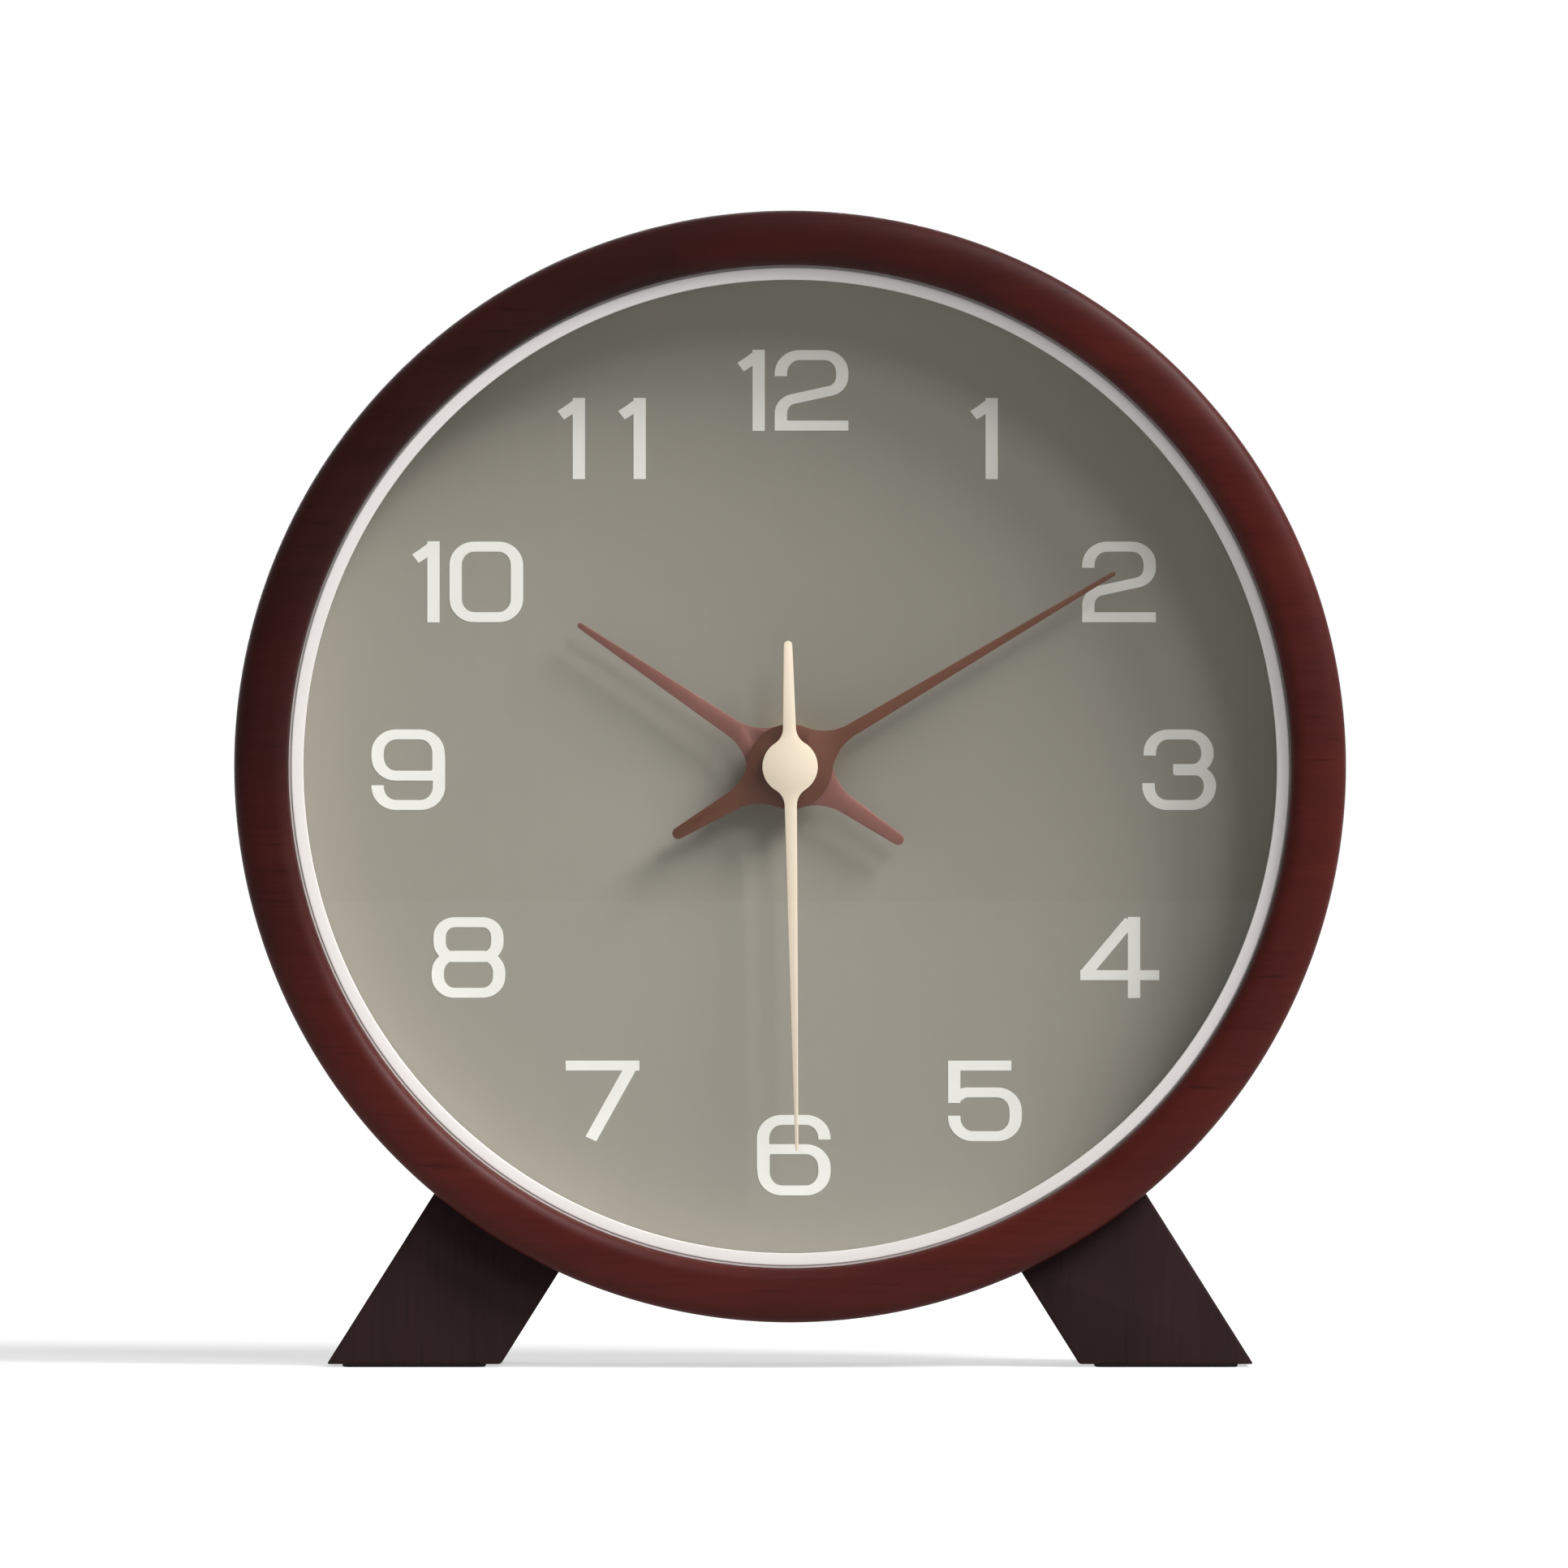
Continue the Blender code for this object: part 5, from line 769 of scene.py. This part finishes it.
def make_rings():
    """The flat white ring in front of the glass, and the deep one that holds the glass off the dial."""
    low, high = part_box("bezel_ring")
    corners = [
        (BEZEL_RADIUS, -low.y, 0.0003),
        (BEZEL_RADIUS, -high.y, 0.0001),
        (SHOW_RADIUS, -high.y, 0.0001),
        (SHOW_RADIUS, -low.y - BEZEL_SLOPE, 0.0002),
    ]
    front = lathe("front_ring", rounded(corners, 8), DIAL, SLOTS["white_plastic"])
    dress(front, "case", "white_plastic", "bezel_ring")
    corners = [
        (FILL_RADIUS, RING_FRONT, 0.0002),
        (FILL_RADIUS, RING_BACK, 0.0002),
        (SPACER_RADIUS, RING_BACK, 0),
        (SPACER_RADIUS, RING_FRONT, 0.0005),
    ]
    inner = lathe("inner_ring", rounded(corners, 8), DIAL, SLOTS["white_plastic"])
    dress(inner, "case", "white_plastic", "dial_ring")


def make_dial():
    corners = [
        (FILL_RADIUS, DIAL_FRONT, 0),
        (FILL_RADIUS, DIAL_BACK, 0),
        (NECK_HOLE_RADIUS, DIAL_BACK, 0),
        (NECK_HOLE_RADIUS, DIAL_FRONT, 0.0001),
    ]
    dress(lathe("dial_face", rounded(corners, 3), DIAL, SLOTS["dial_paint"]), "case", "dial_paint", "dial_plate")


def pen_stroke(path, closed):
    """The outline that a pen leaves along a path: wide on uprights and thin on level strokes."""
    path = [Vector(point) for point in path]
    count = len(path)
    sides = ([], [])
    for i, point in enumerate(path):
        steps = []
        if closed or i > 0:
            steps.append((point - path[i - 1]).normalized())
        if closed or i < count - 1:
            steps.append((path[(i + 1) % count] - point).normalized())
        normals = [Vector((-step.y, step.x)) for step in steps]
        mitre = normals[0]
        if len(normals) > 1:
            mitre = (normals[0] + normals[1]) / (1 + normals[0].dot(normals[1]))
        offset = Vector((mitre.x * UPRIGHT_STROKE / 2, mitre.y * LEVEL_STROKE / 2))
        sides[0].append(tuple(point + offset))
        sides[1].append(tuple(point - offset))
    if closed:
        return [sides[0], sides[1]]
    return [sides[0] + sides[1][::-1]]


def digit_width(digit):
    return NUMERAL_HEIGHT * {1: ONE_WIDTH_SHARE, 4: FOUR_WIDTH_SHARE}.get(digit, WIDE_DIGIT_SHARE)


def digit_strokes(digit, left, middle):
    width = digit_width(digit) - UPRIGHT_STROKE
    height = NUMERAL_HEIGHT - LEVEL_STROKE
    source = DIGIT_SHARES[6] if digit == 9 else DIGIT_SHARES[digit]
    strokes = []
    for kind, shares in source:
        corners = []
        for across, up, roundness in shares:
            if digit == 9:
                across, up = 1 - across, 1 - up
            x = left + UPRIGHT_STROKE / 2 + across * width
            y = middle - height / 2 + up * height
            corners.append((x, y, roundness * NUMERAL_CORNER))
        strokes.append(pen_stroke(rounded(corners, 9, kind == "ring"), kind == "ring"))
    return strokes


def number_strokes(number):
    digits = [int(character) for character in str(number)]
    space = ELEVEN_SPACE if number == 11 else PAIR_SPACE
    width = sum(digit_width(digit) for digit in digits) + space * (len(digits) - 1)
    reach = NUMERAL_RADIUS * NUMERAL_REACH_SHARES.get(number, DIAGONAL_REACH_SHARE)
    centre = towards(math.pi / 2 - number * math.pi / 6, reach) + PRINT_SHIFT
    left = centre.x - width / 2
    strokes = []
    for digit in digits:
        strokes += digit_strokes(digit, left, centre.y)
        left += digit_width(digit) + space
    return strokes


def make_numbers():
    for number in range(1, 13):
        pieces = []
        for i, outlines in enumerate(number_strokes(number)):
            low = DIAL_FRONT + 0.00001 - i * STROKE_RISE
            high = DIAL_FRONT + PAINT_THICKNESS + i * STROKE_RISE
            pieces.append(plate(f"number_{number}_part_{i}", outlines, low, high, DIAL, NUMBER_PAINT))
        first = pieces[0]
        if len(pieces) > 1:
            join(first, *pieces[1:])
        first.name = f"number_{number}"
        smooth(first.data)
        dress(first, "case", None)


# Feet


def foot_outline(side):
    along = Vector((side * math.sin(FOOT_SPLAY), -math.cos(FOOT_SPLAY)))
    top_radius = BARREL_RADIUS + 0.0003
    middle = math.atan2(along.y, along.x)
    spread = math.asin(FOOT_WIDTH / 2 / top_radius)
    points = [towards(middle + spread * (2 * i / 24 - 1), top_radius) for i in range(25)]
    for start in (points[-1], points[0]):
        points.append(start + along * ((FOOT_BOTTOM - start.y) / along.y))
    return [tuple(point) for point in points]


def make_foot(name, side):
    foot = plate(name, [foot_outline(side)], FOOT_BACK, FOOT_FRONT, DIAL, SLOTS["dark_wood"])
    low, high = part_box(f"{name}_pad")

    def pad_outline(grown):
        left, right = low.x - grown, high.x + grown
        front, back = low.y - grown, high.y + grown
        corners = [(left, front), (right, front), (right, back), (left, back)]
        return rounded([(x, y, PAD_CORNER + grown) for x, y in corners], 8)

    cut(foot, plate(f"{name}_pocket", [pad_outline(PAD_GAP)], -0.001, high.z + PAD_GAP, WORLD, None))
    soften(foot, 0.00035, 3, 40)
    dress(foot, "case", "dark_wood", name)
    foot.name = f"{name}_leg"
    pad = plate(f"{name}_felt", [pad_outline(0)], low.z, high.z, WORLD, SLOTS["felt"], 0.00025)
    dress(pad, "case", "felt", f"{name}_pad")


# Hands


def hand_outline(reach, tip_width, root_width, tail_reach, tail_end, tail_root, hub_radius, flare):
    """A hand that points along +Y: tapered arm and tail, which flare into a round hub."""
    right = []
    for side, length, root, end in ((-1, tail_reach, tail_root, tail_end), (1, reach, root_width, tip_width)):
        flare_x = root / 2 + flare
        flare_y = math.sqrt((hub_radius + flare) ** 2 - flare_x**2)
        start = math.pi
        finish = math.pi + math.atan2(flare_y, flare_x)
        branch = []
        for i in range(7):
            angle = math.pi / 2 * (1 - i / 6)
            branch.append((end / 2 * math.cos(angle), length - end / 2 * (1 - math.sin(angle))))
        for i in range(15):
            angle = start + (finish - start) * i / 14
            branch.append((flare_x + flare * math.cos(angle), flare_y + flare * math.sin(angle)))
        branch = [(x, side * y) for x, y in branch]
        if side < 0:
            right += branch
            tail_finish = math.atan2(-flare_y, flare_x)
        else:
            arm_finish = math.atan2(flare_y, flare_x)
            for i in range(1, 16):
                angle = tail_finish + (arm_finish - tail_finish) * i / 16
                right.append((hub_radius * math.cos(angle), hub_radius * math.sin(angle)))
            right += branch[::-1]
    left = [(-x, y) for x, y in right[::-1] if x > 1e-7]
    return right + left


def make_hand(name, slot, material, outline, hole, angle):
    """A flat stamped hand with softened edges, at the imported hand's heights."""
    low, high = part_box(f"{name}_hand")
    outlines = [outline]
    if hole:
        outlines.append(circle(hole))
    matrix = DIAL @ Matrix.Rotation(-math.radians(angle), 4, "Z")
    hand = plate(f"{name}_leaf", outlines, -high.y, -low.y, matrix, material, 0.00009, 2)
    dress(hand, f"{name}_hand_group", slot, f"{name}_hand")


def make_hands():
    hour = hand_outline(0.0415, 0.0010, 0.0029, 0.0221, 0.0019, 0.0030, 0.0069, 0.0080)
    minute = hand_outline(0.0615, 0.0007, 0.0021, 0.0221, 0.0019, 0.0030, 0.0069, 0.0080)
    second = hand_outline(0.0624, 0.0005, 0.0020, 0.0204, 0.0014, 0.0021, 0.0045, 0.0030)
    make_hand("hour", "copper_finish", HOUR_COPPER, hour, 0.0034, HOUR_ANGLE)
    make_hand("minute", "copper_finish", SLOTS["copper_finish"], minute, 0.0026, MINUTE_ANGLE)
    make_hand("second", "cream_paint", SLOTS["cream_paint"], second, 0, SECOND_ANGLE)


# Back


def cover_screw_place(node):
    """A cover screw's head radius, its length, and its frame: the origin on the head, with z out of the back."""
    low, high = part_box(node)
    middle = Matrix.Translation(((low.x + high.x) / 2, high.y, (low.z + high.z) / 2))
    return (high.x - low.x) / 2, high.y - low.y, middle @ Matrix.Rotation(-math.pi / 2, 4, "X")


def screw_hole(node):
    radius, _, matrix = cover_screw_place(node)
    profile = [
        (0, 0.001),
        (radius + SCREW_GAP, 0.001),
        (radius + SCREW_GAP, 0),
        (COVER_SCREW_RADIUS + SCREW_GAP, -COVER_SCREW_HEAD),
        (COVER_SCREW_RADIUS + SCREW_GAP, -0.004),
        (0, -0.004),
    ]
    return lathe(f"{node}_hole", profile, matrix, None, SMALL_STEPS)


def make_cover():
    corners = [
        (0, COVER_FRONT, 0),
        (SPIGOT_RADIUS, COVER_FRONT, 0),
        (SPIGOT_RADIUS, DIAL_BACK - SPIGOT_GAP, 0.0003),
        (FILL_RADIUS, DIAL_BACK - SPIGOT_GAP, 0.0003),
        (FILL_RADIUS, COVER_FRONT, 0),
        (COVER_RADIUS, COVER_FRONT, 0.0004),
        (COVER_RADIUS, COVER_BACK, 0.0009),
        (0.0800, COVER_BACK, 0.0002),
        (0.0796, COVER_BACK + 0.0004, 0.0002),
        (0.0784, COVER_BACK + 0.0004, 0.0002),
        (0.0780, COVER_BACK, 0.0002),
        (0, COVER_BACK, 0),
    ]
    shell = lathe("back_shell", rounded(corners, 4, closed=False), DIAL, SLOTS["black_plastic"])
    collar = plate("collar", [square(0.0302, 0.0045)], COVER_FRONT - 0.0002, -0.0066, DIAL, None)
    window = plate("window", [square(0.0287, 0.0030)], COVER_BACK - 0.001, 0.001, DIAL, None)
    join(shell, collar)
    cut(shell, window, *[screw_hole(f"cover_screw_{i + 1}") for i in range(COVER_SCREWS)])
    smooth(shell.data, 30)
    dress(shell, "case", "black_plastic", "back_cover")


def make_cover_screws():
    for i in range(COVER_SCREWS):
        node = f"cover_screw_{i + 1}"
        radius, length, matrix = cover_screw_place(node)
        corners = [
            (0, 0, 0),
            (radius, 0, 0.0003),
            (COVER_SCREW_RADIUS, -COVER_SCREW_HEAD, 0),
            (COVER_SCREW_RADIUS, -0.0085, 0),
            (0.0003, -length, 0),
            (0, -length, 0),
        ]
        screw = lathe(f"{node}_head", rounded(corners, 4, closed=False), matrix, SLOTS["steel"], SMALL_STEPS)
        arms = []
        for turn in range(2):
            slot = Matrix.Rotation(turn * math.pi / 2 + 0.4 * i, 4, "Z")
            low, high = (-0.0014, -0.0003, -0.0009), (0.0014, 0.0003, 0.001)
            arms.append(box_tool(f"arm_{turn}", low, high, matrix @ slot))
        cut(screw, *arms)
        smooth(screw.data)
        dress(screw, "case", "steel", node)


def make_rear_case():
    """The movement's rear half: a softened box, open at the bay and hollow inside."""
    case = plate("movement_box", [square(MOVEMENT_HALF, 0.0020)], MOVEMENT_BACK, -0.0011, DIAL, SLOTS["black_plastic"])
    soften(case, 0.0004, 3, 60)
    inner = MOVEMENT_HALF - MOVEMENT_WALL
    chamber = box_tool("chamber", (-inner, -0.0114, -0.0144), (inner, inner, 0.001), DIAL)
    bay = box_tool("bay", (-inner, -inner, -0.0170), (inner, -0.0124, 0.001), DIAL)
    bore = lathe(
        "setting_bore",
        [(0, -0.0170), (0.0013, -0.0170), (0.0013, -0.0130), (0, -0.0130)],
        DIAL @ Matrix.Translation(SETTING_AXIS),
        None,
        SMALL_STEPS,
    )
    cut(case, chamber, bay, bore)
    smooth(case.data)
    dress(case, "case", "black_plastic", "movement_rear_case")


def make_knob():
    low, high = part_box("setting_knob")
    centre = Vector(((low.x + high.x) / 2, (low.y + high.y) / 2, (low.z + high.z) / 2))
    outline = []
    for i in range(240):
        angle = 2 * math.pi * i / 240
        radius = KNOB_RADIUS + KNOB_RIB * math.cos(KNOB_RIBS * angle)
        outline.append(tuple(towards(angle, radius)))
    matrix = Matrix.Translation((centre.x, 0, centre.z)) @ Matrix.Rotation(math.pi / 2, 4, "X")
    knob = plate("knob", [outline], -high.y, -low.y, matrix, SLOTS["grey_plastic"], 0.0004)
    rear = -high.y
    profile = [
        (0, rear - 0.001),
        (0.0044, rear - 0.001),
        (0.0044, rear + 0.0003),
        (0.0040, rear + 0.0005),
        (0, rear + 0.0005),
    ]
    dish = lathe("dish", profile, matrix, None, SMALL_STEPS)
    floor = -0.5 * (high.y + low.y) - 0.0006
    hole = lathe("knob_hole", [(0, floor), (0.0014, floor), (0.0014, 0), (0, 0)], matrix, None, SMALL_STEPS)
    cut(knob, dish, hole)
    smooth(knob.data)
    dress(knob, "setting_group", "grey_plastic", "setting_knob")


def make_cell():
    low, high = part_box("aa_cell")
    radius = (high.z - low.z) / 2
    matrix = Matrix.Translation((0, (low.y + high.y) / 2, (low.z + high.z) / 2)) @ Matrix.Rotation(math.pi / 2, 4, "Y")
    corners = [
        (0, high.x, 0),
        (0.0062, high.x, 0.0002),
        (0.0064, high.x - 0.0003, 0.0001),
        (radius - 0.0003, high.x - 0.0003, 0.0003),
        (radius, high.x - 0.0010, 0.0004),
        (radius, low.x + 0.0016, 0.0004),
        (radius - 0.0004, low.x + 0.0010, 0.0002),
        (0.0028, low.x + 0.0010, 0.0002),
        (0.0027, low.x, 0.0004),
        (0, low.x, 0),
    ]
    cell = lathe("cell", rounded(corners, 5, closed=False), matrix, SLOTS["cell_label"], 96)
    dress(cell, "case", "cell_label", "aa_cell")


# Studio


def ranged(tree, value, start, end, low, high):
    """A smooth step from one level to another as the value goes from the start to the end."""
    made = tree.nodes.new("ShaderNodeMapRange")
    made.interpolation_type = "SMOOTHSTEP"
    made.inputs["From Min"].default_value = start
    made.inputs["From Max"].default_value = end
    made.inputs["To Min"].default_value = low
    made.inputs["To Max"].default_value = high
    tree.links.new(value, made.inputs["Value"])
    return made.outputs["Result"]


def mirrored_rays(tree, path):
    """Rays that bounced off a gloss. Clear glass marks the rays that it lets through as glossy too, so those go."""
    return maths(
        tree,
        "MULTIPLY",
        path.outputs["Is Glossy Ray"],
        maths(tree, "SUBTRACT", 1.0, path.outputs["Is Transmission Ray"]),
    )


def make_floor():
    """A pale floor, lifted to white for the camera.

    Far in front of the clock, its reflection fades as the studio's does, so that the glass shows no horizon.
    """
    mesh = bpy.data.meshes.new("floor")
    mesh.from_pydata([(x * FLOOR_SIZE, y * FLOOR_SIZE, 0) for x, y in UNIT_CORNERS], [], [(0, 1, 2, 3)])
    material = bpy.data.materials.new("pale_floor")
    material.use_nodes = True
    tree = material.node_tree
    shader = tree.nodes["Principled BSDF"]
    shader.inputs["Base Color"].default_value = (0.50, 0.50, 0.50, 1)
    shader.inputs["Roughness"].default_value = 0.9
    shader.inputs["Specular IOR Level"].default_value = 0.0
    path = tree.nodes.new("ShaderNodeLightPath")
    coordinates = tree.nodes.new("ShaderNodeTexCoord")
    split = tree.nodes.new("ShaderNodeSeparateXYZ")
    tree.links.new(coordinates.outputs["Object"], split.inputs[0])
    behind = ranged(tree, split.outputs["Y"], -0.35, 0.0, 0.0, 1.0)
    mirrored = mirrored_rays(tree, path)
    through = maths(tree, "MULTIPLY", path.outputs["Is Transmission Ray"], behind)
    seen = maths(tree, "MAXIMUM", path.outputs["Is Camera Ray"], maths(tree, "MULTIPLY", mirrored, behind))
    glow = tree.nodes.new("ShaderNodeEmission")
    lift = maths(tree, "MULTIPLY", maths(tree, "MAXIMUM", seen, through), FLOOR_LIFT)
    tree.links.new(lift, glow.inputs["Strength"])
    both = tree.nodes.new("ShaderNodeAddShader")
    tree.links.new(shader.outputs["BSDF"], both.inputs[0])
    tree.links.new(glow.outputs["Emission"], both.inputs[1])
    fade = maths(tree, "MULTIPLY", ranged(tree, split.outputs["Y"], -2.4, -0.4, 1.0, 0.0), mirrored)
    dim = tree.nodes.new("ShaderNodeEmission")
    dim.inputs["Strength"].default_value = MIRROR_STRENGTH
    faded = tree.nodes.new("ShaderNodeMixShader")
    tree.links.new(fade, faded.inputs["Fac"])
    tree.links.new(both.outputs["Shader"], faded.inputs[1])
    tree.links.new(dim.outputs["Emission"], faded.inputs[2])
    tree.links.new(faded.outputs["Shader"], tree.nodes["Material Output"].inputs["Surface"])
    floor = add_object("floor", mesh, WORLD, material)


def make_world():
    """A white studio: white to the camera and behind the clock, dim in front of the glass, and an even fill.

    Light on its way out through the glass counts as transmitted, so only what lies behind the clock is white to it.
    """
    world = bpy.data.worlds.new("studio")
    bpy.context.scene.world = world
    world.use_nodes = True
    tree = world.node_tree
    tree.nodes.clear()
    output = tree.nodes.new("ShaderNodeOutputWorld")
    background = tree.nodes.new("ShaderNodeBackground")
    background.inputs["Color"].default_value = (1, 1, 1, 1)
    path = tree.nodes.new("ShaderNodeLightPath")
    coordinates = tree.nodes.new("ShaderNodeTexCoord")
    split = tree.nodes.new("ShaderNodeSeparateXYZ")
    tree.links.new(coordinates.outputs["Generated"], split.inputs[0])

    front = maths(tree, "MAXIMUM", maths(tree, "MULTIPLY", split.outputs["Y"], -1.0), 0.0)
    level = maths(tree, "MULTIPLY", maths(tree, "POWER", front, 2.0), FRONT_FILL)
    level = maths(tree, "ADD", level, ROUND_FILL)
    bounced = mirrored_rays(tree, path)
    plain = maths(tree, "SUBTRACT", 1.0, maths(tree, "MAXIMUM", path.outputs["Is Camera Ray"], bounced))
    fill = maths(tree, "MULTIPLY", plain, level)
    studio = ranged(tree, split.outputs["Y"], -0.95, 0.25, MIRROR_STRENGTH, 1.0)
    mirrored = maths(tree, "MULTIPLY", bounced, studio)
    rear = ranged(tree, split.outputs["Y"], 0.05, 0.55, 0.0, 1.0)
    through = maths(tree, "MULTIPLY", path.outputs["Is Transmission Ray"], rear)
    unlit = maths(tree, "ADD", mirrored, maths(tree, "ADD", through, path.outputs["Is Camera Ray"]))
    strength = maths(tree, "ADD", unlit, fill)
    tree.links.new(strength, background.inputs["Strength"])
    tree.links.new(background.outputs["Background"], output.inputs["Surface"])


def lamp(name, off_axis, clockwise, spread, level):
    """A far, soft lamp, so many degrees off the clock's axis and clockwise from 12.

    A level of 1 lights a surface that faces the lamp as its material's colour is written.
    """
    light = bpy.data.lights.new(name, "SUN")
    light.angle = math.radians(spread)
    light.energy = level * math.pi
    light.cycles.use_multiple_importance_sampling = False
    obj = bpy.data.objects.new(name, light)
    bpy.context.scene.collection.objects.link(obj)
    tilt = math.radians(off_axis)
    turn = math.radians(clockwise)
    direction = Vector((math.sin(tilt) * math.sin(turn), -math.cos(tilt), math.sin(tilt) * math.cos(turn)))
    obj.rotation_euler = direction.to_track_quat("Z", "Y").to_euler()
    return obj


def make_lamps():
    lamp("key", 42, 36, 18, 0.24)
    lamp("wing", 67, 42, 24, 1.12)
    lamp("back", 140, 330, 60, 0.30)


def make_camera():
    """A long lens, level with the clock's middle, framed so that a pixel is a fixed length at the rim."""
    camera = bpy.data.cameras.new("camera")
    camera.sensor_width = SENSOR_WIDTH
    camera.lens = SENSOR_WIDTH * CAMERA_DISTANCE / (PHOTO_SIDE * PIXEL)
    camera.clip_start = 0.05
    camera.clip_end = 60
    obj = bpy.data.objects.new("camera", camera)
    bpy.context.scene.collection.objects.link(obj)
    shift = (RIM_CENTRE - Vector((PHOTO_SIDE, PHOTO_SIDE)) / 2) * PIXEL
    obj.location = (-shift.x, -BEAD_BASE - CAMERA_DISTANCE, AXIS_HEIGHT + shift.y)
    obj.rotation_euler = (math.pi / 2, 0, 0)
    bpy.context.scene.camera = obj


clear_default_scene()
finish_nodes()
make_rim()
make_glass()
make_rings()
make_dial()
make_numbers()
make_foot("left_foot", -1)
make_foot("right_foot", 1)
make_hands()
make_cover()
make_cover_screws()
make_rear_case()
make_knob()
make_cell()
make_floor()
make_world()
make_lamps()
make_camera()
bpy.context.scene.view_settings.view_transform = "Standard"
